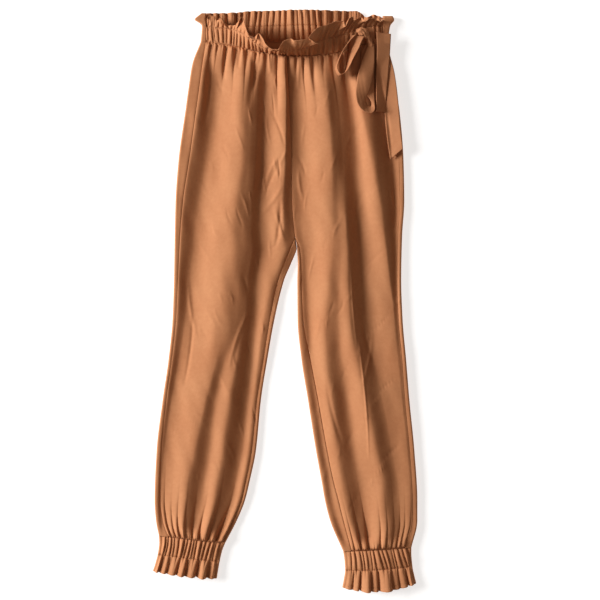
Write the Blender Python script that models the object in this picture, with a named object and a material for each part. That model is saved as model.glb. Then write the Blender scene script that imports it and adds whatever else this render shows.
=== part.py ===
"""Paperbag waist trousers in soft rust cloth, laid flat on their back.

Every cut piece is a closed cloth wall of its own, a seam gap away from its neighbours.
Frame: +X to the wearer's left, +Y towards the waist, +Z up off the table, origin at the
middle of the footprint. Sizes are millimetres and become metres when a mesh is made.
The right leg lies on the -X side.
"""
import math

import bmesh
import bpy
import numpy as np

MM = 0.001
WALL = 1.5  # one layer of cloth with its seam allowances, pressed flat
SEAM_GAP = 0.3
HALF_GAP = SEAM_GAP / 2

WAIST_Y = 443.5  # waist seam at the side seams
CASING = 27.0  # depth of the elastic casing round the waist
FRILL = 26.0  # the free paperbag edge above it
CUFF = 32.0  # depth of the cuff casing
CUFF_FRILL = 29.5
CROTCH_Y = 89.6  # where the leg outlines part
FORK_Y = 107.0  # where the inseams meet the centre seam, on the front
ROLL = 5.0  # how far in from its edge the flat leg rounds over
FRONT_COLUMNS = 32
WAIST_GATHER = 1.4  # height of the small gathers on a front at its waist seam
WAIST_GATHER_REACH = (95.0, 15.0)  # below the waist: where they start, where they are full
CUFF_GATHER = 1.2
CUFF_GATHER_REACH = (70.0, 8.0)
LEVEL_REACH = (75.0, 20.0)  # the long folds level out towards the waist seam
DIP_REACH = 150.0  # how far below it the rows still follow the waist seam's dip
ARCH_REACH = 26.0  # and over this much above a cuff
SWING_REACH = 90.0  # rows this far above a cuff start to slant with it
FORK_REACH = 57.0  # below the fork, the back's inner edge turns to face sideways
FORK_GAP = 0.4  # the back's corner stays this far below the fronts at the fork
FLAT_PLACES = 5  # across the flat underside of a back
LAST_ROW = 14.0  # the row of a leg next to its cuff lies this far above it


def table(names, *rows):
    """A short table with named columns."""
    return dict(zip(names.split(), np.array(rows, float).T))


# Half the flat trousers each: the flat edge, and the seam that shows just inside it.
CENTRE_SEAM = table(
    "y x",
    (443.5, 3), (405, 3.4), (367, 5.5), (328, 7), (241, 9.5), (172, 10.3), (107, 16), (89.6, 19),
)
RIGHT_SIDE = table(
    "y edge seam",
    (443.5, -146.5, -137),
    (405, -161, -143),
    (367, -167, -148),
    (328, -172.4, -153.4),
    (241, -184.5, -165.5),
    (172, -189.6, -176),
    (107, -191.2, -181.5),
    (34, -192.5, -185),
    (-34, -195, -188.3),
    (-103, -202, -195.5),
    (-172, -212, -205),
    (-259, -222.4, -213),
    (-345, -225.8, -215.5),
    (-379, -223.5, -211),
    (-404.5, -218.4, -201),
)
RIGHT_INSIDE = table(
    "y edge seam",
    (107, 22, 16),
    (89.6, 19, 8.5),
    (60, 7.5, -3),
    (34, -3.4, -13),
    (-34, -20, -27.5),
    (-103, -32.3, -38.5),
    (-172, -43.1, -49.5),
    (-259, -51.7, -58.5),
    (-310, -62.1, -68.5),
    (-345, -70.7, -77),
    (-379, -84.5, -91.5),
    (-417.6, -104.5, -111),
)
LEFT_SIDE = table(
    "y edge seam",
    (443.5, 175, 166),
    (405, 179, 171),
    (367, 187, 179),
    (328, 194.8, 187),
    (241, 202, 194.5),
    (172, 203.4, 196),
    (107, 199.5, 192.3),
    (34, 198, 191),
    (-34, 200.5, 193.5),
    (-103, 206.5, 199.5),
    (-172, 212.1, 204.5),
    (-259, 220.7, 212.5),
    (-345, 225.8, 217),
    (-379, 225.8, 216),
    (-425.2, 215.5, 204),
)
LEFT_INSIDE = table(
    "y edge seam",
    (107, 18, 16),
    (89.6, 19, 23.5),
    (60, 20.3, 26.8),
    (34, 19.5, 27),
    (-34, 20, 30),
    (-103, 26.8, 42.5),
    (-172, 37.9, 55.5),
    (-259, 51.7, 71),
    (-310, 61, 81.5),
    (-345, 67.2, 90.7),
    (-379, 75.9, 99),
    (-431.7, 98.3, 113),
)

# The long soft folds, one row each. FOLD_Y are the heights on the legs where a fold is
# placed: a share of the way in from the outer edge, then how high the cloth stands there.
FOLD_Y = np.array([353.0, 241.0, 103.0, -34.0, -172.0, -310.0])
RIGHT_FOLDS = (
    ("outer edge", (0.03, 0.03, 0.03, 0.03, 0.03, 0.03), (12, 12.5, 10.5, 9, 8, 8)),
    ("hip hollow", (0.276, 0.267, 0.19, 0.159, 0.132, 0.09), (4.4, 4, 4, 4.3, 5, 6)),
    ("main ridge", (0.555, 0.56, 0.489, 0.53, 0.449, 0.355), (22, 24, 24, 22, 19, 17)),
    ("shin dip", (0.621, 0.625, 0.563, 0.63, 0.541, 0.524), (20, 21, 21, 19, 13, 8)),
    ("inner ridge", (0.68, 0.676, 0.631, 0.70, 0.694, 0.672), (15, 15.5, 15.5, 17, 20, 17)),
    ("thigh hollow", (0.755, 0.755, 0.74, 0.829, 0.87, 0.85), (6, 4.5, 4.2, 4.4, 5, 5)),
    ("centre ridge", (0.955, 0.955, 0.93, 0.92, 0.93, 0.93), (18, 17, 13, 9, 9, 9)),
    ("inner edge", (1, 1, 1, 0.975, 0.975, 0.975), (13, 10, 7.5, 8, 8, 8)),
)
LEFT_FOLDS = (
    ("outer edge", (0.03, 0.03, 0.03, 0.03, 0.03, 0.03), (9, 9.5, 9.5, 9, 8, 8)),
    ("pocket hollow", (0.104, 0.105, 0.07, 0.06, 0.055, 0.05), (4.4, 4.4, 5, 7, 8, 8)),
    ("hip ridge", (0.357, 0.279, 0.166, 0.1, 0.09, 0.07), (18, 21, 19, 12, 9.5, 8.5)),
    ("outer hollow", (0.432, 0.425, 0.374, 0.231, 0.169, 0.11), (9, 7, 5, 4.4, 4.4, 5)),
    ("shin ridge", (0.54, 0.539, 0.515, 0.498, 0.426, 0.348), (18, 18, 20, 22, 22, 19)),
    ("shin hollow", (0.592, 0.593, 0.575, 0.62, 0.624, 0.602), (17, 16, 15.5, 12, 7, 4.6)),
    ("main ridge", (0.658, 0.646, 0.65, 0.727, 0.772, 0.78), (24, 25, 22, 18, 16, 14)),
    ("centre hollow", (0.902, 0.906, 0.93, 0.898, 0.92, 0.92), (5.5, 4.5, 4.6, 5, 5.5, 6)),
    ("inner edge", (1, 1, 1, 0.975, 0.975, 0.975), (13, 10, 7.5, 8, 8, 8)),
)
CREST = 1.5  # over 1, a fold's crest is narrower than the hollow beside it

# The front of the waist, from the right side seam to the left: where its seam runs, and how
# far the casing and the frill above it are turned up out of the table's plane, in degrees.
WAIST = table(
    "x seam_y seam_z casing_lean frill_lean",
    (-137, 443.5, 10, 0, 0),
    (-122, 440.5, 12, 12, 10),
    (-100, 437.4, 13, 18, 22),
    (-78, 433, 13.5, 40, 24),
    (-62, 429.3, 14.5, 61, 92),
    (-45, 425, 15, 78, 72),
    (-28, 423.5, 15.5, 91, 94),
    (-10, 420.5, 16, 94, 90),
    (7, 419.2, 16, 86, 46),
    (24, 418.2, 16, 79, 58),
    (41, 418.2, 15.5, 66, 68),
    (62, 420.3, 15, 34, 38),
    (84, 423.3, 14, 16, 20),
    (110, 431.2, 13, 14, 12),
    (145, 441, 12, 8, 4),
    (166, 443.5, 10, 0, 0),
)
# The back of the waist lies on the table: its outline at three heights.
BACK_WAIST = table(
    "depth right_edge left_edge",
    (0, -146.5, 175),
    (27, -144.5, 179),
    (45, -157, 186),
    (53, -146, 184),
)
# Free edge of the back frill: how much shorter it stands towards the sides.
BACK_FRILL = table(
    "x short",
    (-155, 9),
    (-140, 4),
    (-90, 3),
    (-60, 0),
    (120, 0),
    (131, 5),
    (139, 11),
    (150, 6),
    (158, 8),
    (168, 12),
    (178, 8),
    (184, 11),
)

CUFF_TOP = 14.0  # how high the middle of a cuff arches off the table
CUFF_EDGE = 10.0
RIGHT_CUFF = ((-218.4, -404.5), (-104.5, -417.6))  # outer and inner end of its seam
LEFT_CUFF = ((215.5, -425.2), (98.3, -431.7))
# Down a cuff from its seam: its half width, its height, how far it has moved in towards the
# other leg, and how far its middle sags below its two ends.
RIGHT_CUFF_SHAPE = table(
    "down half_width height in_shift sag",
    (0, 57.3, 14, 0, 0),
    (16, 54.2, 14.5, -0.9, 0),
    (32, 53.6, 13.5, -2, 0),
    (48, 54.2, 15, -3.6, 0.5),
    (62, 55.3, 17, -5.3, 1.5),
)
LEFT_CUFF_SHAPE = table(
    "down half_width height in_shift sag",
    (0, 58.7, 14, 0, 0),
    (16, 57.6, 14.5, -0.4, 0.5),
    (32, 57.9, 13.5, -0.8, 2),
    (48, 60.6, 15, -0.4, 5),
    (62, 63.6, 17, 0, 9),
)
CUFF_CASING_ROWS = table("depth swell", (SEAM_GAP, 0.5), (CUFF / 2, 1), (CUFF - SEAM_GAP, 0.5))
CUFF_FRILL_ROWS = table(
    "depth swell", (CUFF + SEAM_GAP, 0.1), (CUFF + CUFF_FRILL / 2, 0.6), (CUFF + CUFF_FRILL, 1)
)
CUFF_COLUMNS = 36  # two to each gather of the casing
CUFF_UNDER_COLUMNS = 4
CUFF_PUFF = 1.1
CUFF_RIDGE = 0.95
CUFF_WAVES = 8
CUFF_WAVE = 2.6
UNDER_WAVES = 6  # the frill's waves on the underside, which touch the table between them
UNDER_WAVE = 2.2

WAIST_CASING_ROWS = table("depth puff", (SEAM_GAP, 0), (CASING / 2, 1), (CASING - SEAM_GAP, 0))
WAIST_FRILL_ROWS = table(
    "length bend wave", (SEAM_GAP, 0, 0.3), (FRILL / 2, 0.7, 2.2), (FRILL / 2, 1, 3.8)
)
BACK_CASING_ROWS = table(
    "depth gather wave", (SEAM_GAP, 0.5, 0), (CASING / 2, 1, 0), (CASING - SEAM_GAP, 0.5, 0)
)
BACK_FRILL_ROWS = table(
    "depth gather wave",
    (CASING + SEAM_GAP, 0, 0.15),
    (CASING + FRILL / 2, 0, 1.1),
    (CASING + FRILL, 0, 2.2),
)
CASING_PUFF = 1.2
CASING_RIDGE = (0.4, 0.8)  # height of its gathers at the seams, and how much more between
BACK_GATHER = 0.75
FRONT_WAVES = 20
FRONT_PHASE = 0.4
BACK_WAVES = 26
COLUMNS_PER_WAVE = 4
WAVE_END = 3  # columns over which waves die out at each end
BACK_COLUMNS_PER_WAVE = 3


def curve(stations, values, at):
    """A smooth curve through the stations that never overshoots them."""
    order = np.argsort(stations)
    stations = np.asarray(stations, float)[order]
    values = np.asarray(values, float)[order]
    steps = np.diff(stations)
    slopes = np.diff(values) / steps
    product = slopes[:-1] * slopes[1:]
    total = np.where(product > 0, slopes[:-1] + slopes[1:], 1.0)
    middle = np.where(product > 0, 2 * product / total, 0.0)
    tangents = np.concatenate((slopes[:1], middle, slopes[-1:]))
    at = np.clip(at, stations[0], stations[-1])
    i = np.clip(np.searchsorted(stations, at, side="right") - 1, 0, len(steps) - 1)
    u = (at - stations[i]) / steps[i]
    start = (1 + 2 * u) * (1 - u) ** 2 * values[i] + u * (1 - u) ** 2 * steps[i] * tangents[i]
    end = u**2 * (3 - 2 * u) * values[i + 1] - u**2 * (1 - u) * steps[i] * tangents[i + 1]
    return start + end


def ease(value, start, end):
    """0 before start, 1 past end, and smooth between them."""
    u = np.clip((np.asarray(value, float) - start) / (end - start), 0, 1)
    return u * u * (3 - 2 * u)


def uneven(index):
    """A steady, repeatable variation about 1 for the index-th gather."""
    return 1 + 0.28 * np.sin(index * 2.4 + 0.7) + 0.17 * np.sin(index * 5.1)


def zigzag(columns, size):
    """Alternate crests and hollows over the columns, none at the two ends."""
    index = np.arange(columns + 1)
    heights = size * (-1.0) ** index * uneven(index)
    heights[0] = 0
    heights[-1] = 0
    return heights


def points(x, y, z):
    """Rows of points from numbers or arrays of one shape."""
    return np.stack(np.broadcast_arrays(np.asarray(x, float), y, z), axis=-1)


class Leg:
    """One half of the trousers, with the shape of its top side over the whole half."""

    def __init__(self, sign, side, inside, folds, cuff, cuff_shape):
        self.sign = sign  # +1 on the wearer's left, -1 on the right
        self.side = side
        self.inside = inside
        self.folds = folds
        self.cuff = cuff
        self.cuff_shape = cuff_shape
        self.end = (cuff[0][1] + cuff[1][1]) / 2
        self.tilt = cuff[0][1] - cuff[1][1]

    def outer(self, name, y):
        return curve(self.side["y"], self.side[name], y)

    def inner(self, name, y):
        """The inner edge or inseam, and the centre seam above where it starts."""
        start = CROTCH_Y if name == "edge" else FORK_Y
        own = curve(self.inside["y"], self.inside[name], y)
        return np.where(y >= start, curve(CENTRE_SEAM["y"], CENTRE_SEAM["x"], y), own)

    def share(self, x, y):
        """How far in a place is, from 0 at the outer edge to 1 at the inner one."""
        edge = self.outer("edge", y)
        return np.clip((x - edge) / (self.inner("edge", y) - edge), 0, 1)

    def swing(self, level, share):
        """Rows run level across the leg, and swing to the cuff's slant as they near it."""
        return self.tilt * ease(level, self.end + SWING_REACH, self.end) * (0.5 - share)

    def top(self, x, y):
        """Height of the cloth's upper side at a place on the leg."""
        share = self.share(x, y)
        places = [curve(FOLD_Y, row[1], y) for row in self.folds]
        heights = [curve(FOLD_Y, row[2], y) for row in self.folds]
        z = np.where(share < places[0], heights[0], heights[-1])
        for i in range(len(self.folds) - 1):
            span = places[i + 1] - places[i]
            inside = (share >= places[i]) & (share < places[i + 1])
            u = (1 - np.cos(np.pi * np.clip((share - places[i]) / span, 0, 1))) / 2
            low = np.minimum(heights[i], heights[i + 1])
            high = np.maximum(heights[i], heights[i + 1])
            climb = np.where(heights[i + 1] > heights[i], u, 1 - u) ** CREST
            z = np.where(inside, low + (high - low) * climb, z)
        near_waist = ease(y, WAIST_Y - LEVEL_REACH[0], WAIST_Y - LEVEL_REACH[1])
        z = z + (curve(WAIST["x"], WAIST["seam_z"], x) - z) * near_waist
        cuff_y = self.end + self.swing(self.end, share)
        arch = CUFF_EDGE + (CUFF_TOP - CUFF_EDGE) * np.sin(np.pi * share)
        return z + (arch - z) * ease(y, cuff_y + ARCH_REACH, cuff_y)


RIGHT = Leg(-1, RIGHT_SIDE, RIGHT_INSIDE, RIGHT_FOLDS, RIGHT_CUFF, RIGHT_CUFF_SHAPE)
LEFT = Leg(1, LEFT_SIDE, LEFT_INSIDE, LEFT_FOLDS, LEFT_CUFF, LEFT_CUFF_SHAPE)
BODY_LEVELS = (WAIST_Y, 429, 411, 383, 340, 285, 225, 165, FORK_Y)
LEG_LEVELS = (90, 70, 42, -5, -60, -115, -170, -220, -265, -303, -335, -360, -380)


def leg_levels(leg):
    """Where the rows across a leg lie, closer together at its waist, fork and cuff."""
    return BODY_LEVELS + LEG_LEVELS + (leg.end + LAST_ROW, leg.end)


def waist_gather(y):
    """Height of the small gathers below the waist seam."""
    return WAIST_GATHER * ease(y, WAIST_Y - WAIST_GATHER_REACH[0], WAIST_Y - WAIST_GATHER_REACH[1])


def cuff_gather(leg, y):
    return CUFF_GATHER * ease(y, leg.end + CUFF_GATHER_REACH[0], leg.end + CUFF_GATHER_REACH[1])


def waist_dip(x, level):
    """The front's waist seam sags in the middle, and the rows below it less and less."""
    sag = WAIST_Y - curve(WAIST["x"], WAIST["seam_y"], x)
    return sag * ease(level, WAIST_Y - DIP_REACH, WAIST_Y)


def front_columns(leg, level):
    """Where a front's columns cross a row, from its side seam to the centre seam or inseam."""
    side = leg.outer("seam", level + leg.swing(level, 0)) - leg.sign * HALF_GAP
    inseam = leg.inner("seam", level + leg.swing(level, 1)) + leg.sign * HALF_GAP
    return np.linspace(side, inseam, FRONT_COLUMNS + 1)


def row_share(leg, x, level):
    """How far in along a row, whose two ends may lie at different heights on the leg."""
    start = leg.outer("edge", level + leg.swing(level, 0))
    end = leg.inner("edge", level + leg.swing(level, 1))
    return (x - start) / (end - start)


def front_panel(leg):
    """Outer and inner rows of a front."""
    outer = []
    inner = []
    for level in leg_levels(leg):
        x = front_columns(leg, level)
        y = level + leg.swing(level, row_share(leg, x, level)) - waist_dip(x, level)
        ridges = zigzag(FRONT_COLUMNS, waist_gather(level) + cuff_gather(leg, level))
        if level == WAIST_Y:
            ridges = 2 * np.minimum(ridges, 0)  # crests level with the seam
        z = leg.top(x, y) + ridges
        outer.append(points(x, y, z))
        inner.append(points(x, y, np.maximum(z - WALL, WALL + 2 * SEAM_GAP)))
    return outer, inner


def roll(edge_x, edge_y, towards, radius, top, inset, turns):
    """Cloth rounding over a flat edge, from the table (-90 degrees) to the top (90)."""
    angle = np.radians(turns)
    reach = radius - (radius - inset) * np.cos(angle)
    half = top / 2
    z = half + (half - inset) * np.sin(angle)
    return points(edge_x + towards[0] * reach, edge_y + towards[1] * reach, z)


OVER = np.array([90.0, 45.0, 0.0, -45.0])
BACK_UP = OVER[::-1]


def back_panel(leg):
    """Rows of a back: over the side, flat along the table and up round the inner edge."""
    outer = []
    inner = []
    fork_slant = FORK_Y - CROTCH_Y
    for level in leg_levels(leg):
        y_side = level + leg.swing(level, 0)
        edge_x = leg.outer("edge", y_side)
        side_x = leg.outer("seam", y_side) + leg.sign * HALF_GAP
        side_top = leg.top(edge_x - leg.sign * ROLL, y_side)
        split = level <= FORK_Y
        slant = fork_slant * ease(level, FORK_Y - FORK_REACH, FORK_Y) if split else 0
        end_y = level - slant
        if split:
            at_fork = leg.sign * HALF_GAP if level == FORK_Y else 0
            turn = math.radians(90) * slant / fork_slant
            towards = (leg.sign * math.cos(turn), math.sin(turn))
            inner_y = end_y
            inner_x = leg.inner("edge", inner_y + leg.swing(level, 1)) + at_fork
            end_x = inner_x + towards[0] * ROLL
            end_y = inner_y + towards[1] * ROLL
            inner_top = leg.top(end_x, end_y + leg.swing(level, 1))
            seam_x = leg.inner("seam", level + leg.swing(level, 1)) + (at_fork or -leg.sign * HALF_GAP)
            seam_y = level - (FORK_GAP if at_fork else 0)
        else:
            end_x = leg.inner("edge", level) + leg.sign * HALF_GAP
        start_x = edge_x - leg.sign * ROLL
        for rows, inset in ((outer, 0.0), (inner, WALL)):
            flat = np.linspace(0, 1, FLAT_PLACES)
            row = [
                points([side_x], level, leg.top(side_x, y_side) - inset),
                roll(edge_x, level, (-leg.sign, 0), ROLL, side_top, inset, OVER),
                points(start_x + (end_x - start_x) * flat, level + (end_y - level) * flat, inset),
            ]
            if split:
                row.append(roll(inner_x, inner_y, towards, ROLL, inner_top, inset, BACK_UP))
                row.append(points([seam_x], seam_y, leg.top(seam_x, seam_y) - inset))
            row = np.concatenate(row)
            row[:, 1] += leg.swing(level, row_share(leg, row[:, 0], level))
            rows.append(row)
    return outer, inner


def lean(degrees):
    """Directions up a turned-up band and square to it, as (y, z) pairs."""
    angle = np.radians(degrees)
    return (np.cos(angle), np.sin(angle)), (-np.sin(angle), np.cos(angle))


def waist_seam():
    """Places along the front waist seam, on the columns of the two fronts below it."""
    x = np.concatenate((front_columns(RIGHT, WAIST_Y), front_columns(LEFT, WAIST_Y)[-2::-1]))
    return x, curve(WAIST["x"], WAIST["seam_y"], x), curve(WAIST["x"], WAIST["seam_z"], x)


def turn_up(x, y, z, leans, length):
    """Go a length up a turned-up band from a line of places on it."""
    (along_y, along_z), _ = lean(leans)
    return x, y + along_y * length, z + along_z * length


def waist_casing_front():
    """The gathered casing: ridges on its outer side over a plain inner side."""
    x, seam_y, seam_z = waist_seam()
    leans = curve(WAIST["x"], WAIST["casing_lean"], x)
    _, (off_y, off_z) = lean(leans)
    outer = []
    inner = []
    for depth, puff in zip(*WAIST_CASING_ROWS.values()):
        _, y, z = turn_up(x, seam_y, seam_z, leans, depth)
        ridges = zigzag(len(x) - 1, CASING_RIDGE[0] + CASING_RIDGE[1] * puff)
        if depth == SEAM_GAP:
            ridges = np.minimum(ridges, 0)
        for rows, rise in ((outer, CASING_PUFF * puff + ridges), (inner, -WALL)):
            rows.append(points(x, y + off_y * rise, z + off_z * rise))
    return outer, inner


def wave(columns, size, phase=0.0):
    """Uneven soft waves over the columns, dying out at both ends."""
    index = np.arange(columns + 1)
    turn = 2 * np.pi * index / COLUMNS_PER_WAVE + phase
    ends = ease(np.minimum(index, columns - index), 0, WAVE_END)
    return size * uneven(np.floor(index / COLUMNS_PER_WAVE + 0.5)) * np.sin(turn) * ends


def waist_frill_front():
    """The front's free paperbag edge, waving more towards its edge."""
    seam_x, _, _ = waist_seam()
    x = np.linspace(seam_x[0], seam_x[-1], FRONT_WAVES * COLUMNS_PER_WAVE + 1)
    y = curve(WAIST["x"], WAIST["seam_y"], x)
    z = curve(WAIST["x"], WAIST["seam_z"], x)
    casing = curve(WAIST["x"], WAIST["casing_lean"], x)
    frill = curve(WAIST["x"], WAIST["frill_lean"], x)
    _, y, z = turn_up(x, y, z, casing, CASING)
    outer = []
    inner = []
    for length, bend, size in zip(*WAIST_FRILL_ROWS.values()):
        leans = casing + (frill - casing) * bend
        _, y, z = turn_up(x, y, z, leans, length)
        _, (off_y, off_z) = lean(leans)
        swing = wave(len(x) - 1, size, FRONT_PHASE)
        for rows, rise in ((outer, swing), (inner, swing - WALL)):
            rows.append(points(x, y + off_y * rise, z + off_z * rise))
    return outer, inner


def back_band(rows_table, columns):
    """Rows of a back waist piece: over one side, along the table, over the other side."""
    outer = []
    inner = []
    seams = (RIGHT.outer("seam", WAIST_Y) - HALF_GAP, LEFT.outer("seam", WAIST_Y) + HALF_GAP)
    waves = wave(columns, 1.0)
    for depth, gather, size in zip(*rows_table.values()):
        right = curve(BACK_WAIST["depth"], BACK_WAIST["right_edge"], depth)
        left = curve(BACK_WAIST["depth"], BACK_WAIST["left_edge"], depth)
        share = np.linspace(0, 1, columns + 1)
        flat_x = right + ROLL + (left - right - 2 * ROLL) * share
        swing = size * (waves - waves.min())
        thick = WALL + gather * (1 + zigzag(columns, BACK_GATHER))
        short = curve(BACK_FRILL["x"], BACK_FRILL["short"], flat_x)
        y = WAIST_Y + depth - short * max(depth - CASING, 0) / FRILL
        for rows, inset, z in ((outer, 0.0, swing), (inner, WALL, swing + thick)):
            over = roll(right, y[0], (1, 0), ROLL, CUFF_EDGE, inset, OVER)
            under = roll(left, y[-1], (-1, 0), ROLL, CUFF_EDGE, inset, BACK_UP)
            start = points([seams[0]], y[0], CUFF_EDGE - inset)
            end = points([seams[1]], y[-1], CUFF_EDGE - inset)
            rows.append(np.concatenate((start, over, points(flat_x, y, z), under, end)))
    return outer, inner


def cuff_ring(leg, rows_table, top_columns, under_columns, ridged, under_wave=0.0):
    """Closed rows round a cuff: along its arched top, over, flat underneath and up again."""
    outer_end = np.array(leg.cuff[0])
    inner_end = np.array(leg.cuff[1])
    across = (inner_end - outer_end) / np.linalg.norm(inner_end - outer_end)
    down = np.array((across[1], -across[0])) * -leg.sign
    middle = (outer_end + inner_end) / 2
    outer = []
    inner = []
    shape = leg.cuff_shape
    under = np.linspace(0, 1, under_columns + 1)
    for depth, swell in zip(*rows_table.values()):
        half, height, in_shift, sag = [
            curve(shape["down"], shape[name], depth)
            for name in ("half_width", "height", "in_shift", "sag")
        ]
        share = np.linspace(0, 1, top_columns + 1)
        arch = CUFF_EDGE + (height - CUFF_EDGE) * np.sin(np.pi * share)
        ridges = ridged(swell)
        low = under_wave * swell * (1 + np.cos(2 * np.pi * under * UNDER_WAVES)) / 2
        low[0] = 0
        low[-1] = 0
        for rows, inset in ((outer, 0.0), (inner, WALL)):
            reach = -half + ROLL + 2 * (half - ROLL) * share
            waved = ridges if inset == 0 or under_wave else 0
            top = points(reach, 0, arch - inset + waved)
            far = roll(half, 0, (-1, 0), ROLL, CUFF_EDGE, inset, OVER[1:])
            back = points(reach[-1] + (reach[0] - reach[-1]) * under, 0, low + inset)
            near = roll(-half, 0, (1, 0), ROLL, CUFF_EDGE, inset, BACK_UP[:-1])
            ring = np.concatenate((top, far, back, near))
            lower = depth + sag * (1 - (ring[:, :1] / half) ** 2)
            flat = middle + (ring[:, :1] + in_shift) * across + lower * down
            rows.append(np.column_stack((flat, ring[:, 2])))
    return outer, inner


def cuff_casing(leg):
    """The gathered casing of a cuff: ridges on top over a plain inner side."""

    def ridged(swell):
        return CUFF_PUFF * swell + zigzag(CUFF_COLUMNS, CUFF_RIDGE * swell)

    return cuff_ring(leg, CUFF_CASING_ROWS, CUFF_COLUMNS, CUFF_UNDER_COLUMNS, ridged)


def cuff_frill(leg):
    """A cuff's free edge, waving more towards its hem."""
    columns = CUFF_WAVES * COLUMNS_PER_WAVE

    def ridged(swell):
        return wave(columns, CUFF_WAVE * swell)

    return cuff_ring(leg, CUFF_FRILL_ROWS, columns, 3 * UNDER_WAVES, ridged, UNDER_WAVE)


# The tie's bow at the left hip. Each row of a ribbon's table is a place along it: its two
# edges, and how far each edge stands off the cloth below.
RIBBON = "ax ay az bx by bz"
SMALL_LOOP = table(
    RIBBON,
    (117.5, 450.5, 14, 121.5, 447, 4),
    (108, 436, 20, 112, 434, 2.6),
    (97.5, 423, 22, 104, 420.5, 1),
    (89.5, 408, 23, 96.5, 406, 0.7),
    (87, 396, 23, 93.5, 394, 0.7),
    (91, 387.5, 23, 96, 384.5, 0.8),
    (97.5, 389.5, 23.5, 102, 386.5, 1.3),
    (101, 402, 24, 107.5, 399, 2),
    (106.5, 425, 22.5, 119, 421, 3),
    (116, 441, 18.5, 130, 438, 3.4),
    (123, 451.2, 13.4, 135, 448.7, 3),
)
LARGE_LOOP = table(
    RIBBON,
    (136.5, 449.7, 12.8, 151, 449.7, 12.6),
    (126, 423, 14.6, 151.5, 425, 13.4),
    (121, 385, 14, 147, 387, 13.4),
    (119.5, 352, 13.5, 145, 359, 12.4),
    (121, 335, 11.8, 145, 346, 10.9),
    (124, 327.5, 6, 146.5, 339, 5.6),
    (127.5, 332, 1.2, 149, 343, 1.2),
    (128.5, 350, 1, 150.5, 354, 1),
    (131, 385, 1, 151.5, 387, 1),
    (134, 418, 1.2, 151.5, 420, 1.2),
    (138, 437, 1.5, 150.8, 438, 1.5),
)
SHORT_TAIL = table(
    RIBBON,
    (155.2, 455, 8, 180, 455, 4.6),
    (155.5, 430, 9.5, 178.5, 430, 4.6),
    (154.5, 390, 12, 175.5, 390, 4.2),
    (154.5, 350, 12, 172, 350, 4.4),
    (154.5, 321.5, 11, 170.5, 321.5, 4.4),
)
LONG_TAIL = table(
    RIBBON,
    (149, 446, 1.5, 171, 448, 1.2),
    (157, 420, 0.8, 179, 416, 0.8),
    (163, 393, 0.8, 186, 388, 0.8),
    (168, 345, 0.8, 192, 342, 0.8),
    (171, 300, 0.8, 195.5, 297, 0.8),
    (175.5, 262, 0.8, 198.5, 270, 0.8),
    (179, 241, 0.8, 200, 259, 0.8),
)
KNOT_CENTRE = (138.5, 457.5, 25.5)
KNOT_SIZE = (17.5, 9.0, 6.6)
KNOT_RINGS = 7
KNOT_AROUND = 20
KNOT_FOLDS = 3
KNOT_FOLD = 0.07  # height of the knot's folds, as a share of its radius
RIBBON_WALL = 1.2
LARGEST_GATHER = 1.45  # the most that one gather's unevenness adds, as a factor
CASING_RISE = 3.2  # puff and ridges of the casing under the bow
CASING_LEAD = 6.0  # the bow rests on the casing from this far below its seam


def resting(x, y):
    """Upper side of the left half under a ribbon that bridges the narrow hollows."""
    nearby = (-12.0, -6.0, 0.0, 6.0, 12.0)
    panel = np.max([LEFT.top(x + step, y) for step in nearby], axis=0)
    gather = LARGEST_GATHER * waist_gather(y)
    seam_y = curve(WAIST["x"], WAIST["seam_y"], x)
    slope = np.tan(np.radians(curve(WAIST["x"], WAIST["casing_lean"], x)))
    casing = curve(WAIST["x"], WAIST["seam_z"], x) + np.maximum(y - seam_y, 0) * slope
    above = y > seam_y - CASING_LEAD
    return np.where(above, np.maximum(panel + gather, casing + CASING_RISE), panel + gather)


def ribbon(stations, along):
    """A strip of tie ribbon as a thin wall, about the middle of its two edges' line."""
    place = np.arange(len(stations["ax"]))
    steps = np.linspace(0, place[-1], along + 1)
    edge = {name: curve(place, column, steps) for name, column in stations.items()}
    a = np.column_stack((edge["ax"], edge["ay"], edge["az"]))
    b = np.column_stack((edge["bx"], edge["by"], edge["bz"]))
    share = np.array((0.0, 0.5, 1.0))[None, :, None]
    grid = a[:, None] * (1 - share) + b[:, None] * share
    grid[..., 2] += resting(grid[..., 0], grid[..., 1]) + RIBBON_WALL / 2
    normal = np.cross(np.gradient(grid, axis=0), np.gradient(grid, axis=1))
    normal /= np.linalg.norm(normal, axis=2, keepdims=True)
    shift = normal * RIBBON_WALL / 2
    return list(grid + shift), list(grid - shift)


def knot():
    """The bow's knot: a tight wad of ribbon, ridged where the ribbon wraps it."""
    rows = []
    for i in range(1, KNOT_RINGS + 1):
        tilt = math.pi * i / (KNOT_RINGS + 1)
        turn = 2 * np.pi * np.arange(KNOT_AROUND) / KNOT_AROUND
        ridge = 1 + KNOT_FOLD * np.cos(KNOT_FOLDS * turn)
        rows.append(points(KNOT_CENTRE[0] - KNOT_SIZE[0] * math.cos(tilt),
                           KNOT_CENTRE[1] + KNOT_SIZE[1] * math.sin(tilt) * ridge * np.cos(turn),
                           KNOT_CENTRE[2] + KNOT_SIZE[2] * math.sin(tilt) * ridge * np.sin(turn)))
    return rows


def new_object(name, mesh_data, colour):
    """Put a finished triangle mesh in the scene with its own material."""
    mesh = bpy.data.meshes.new(name)
    mesh_data.to_mesh(mesh)
    mesh_data.free()
    mesh.shade_smooth()
    material = bpy.data.materials.new(name)
    material.use_nodes = True
    shader = material.node_tree.nodes["Principled BSDF"]
    shader.inputs["Base Color"].default_value = (*colour, 1)
    shader.inputs["Roughness"].default_value = ROUGHNESS
    shader.inputs["Metallic"].default_value = 0.0
    mesh.materials.append(material)
    part = bpy.data.objects.new(name, mesh)
    bpy.context.collection.objects.link(part)
    return part


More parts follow.
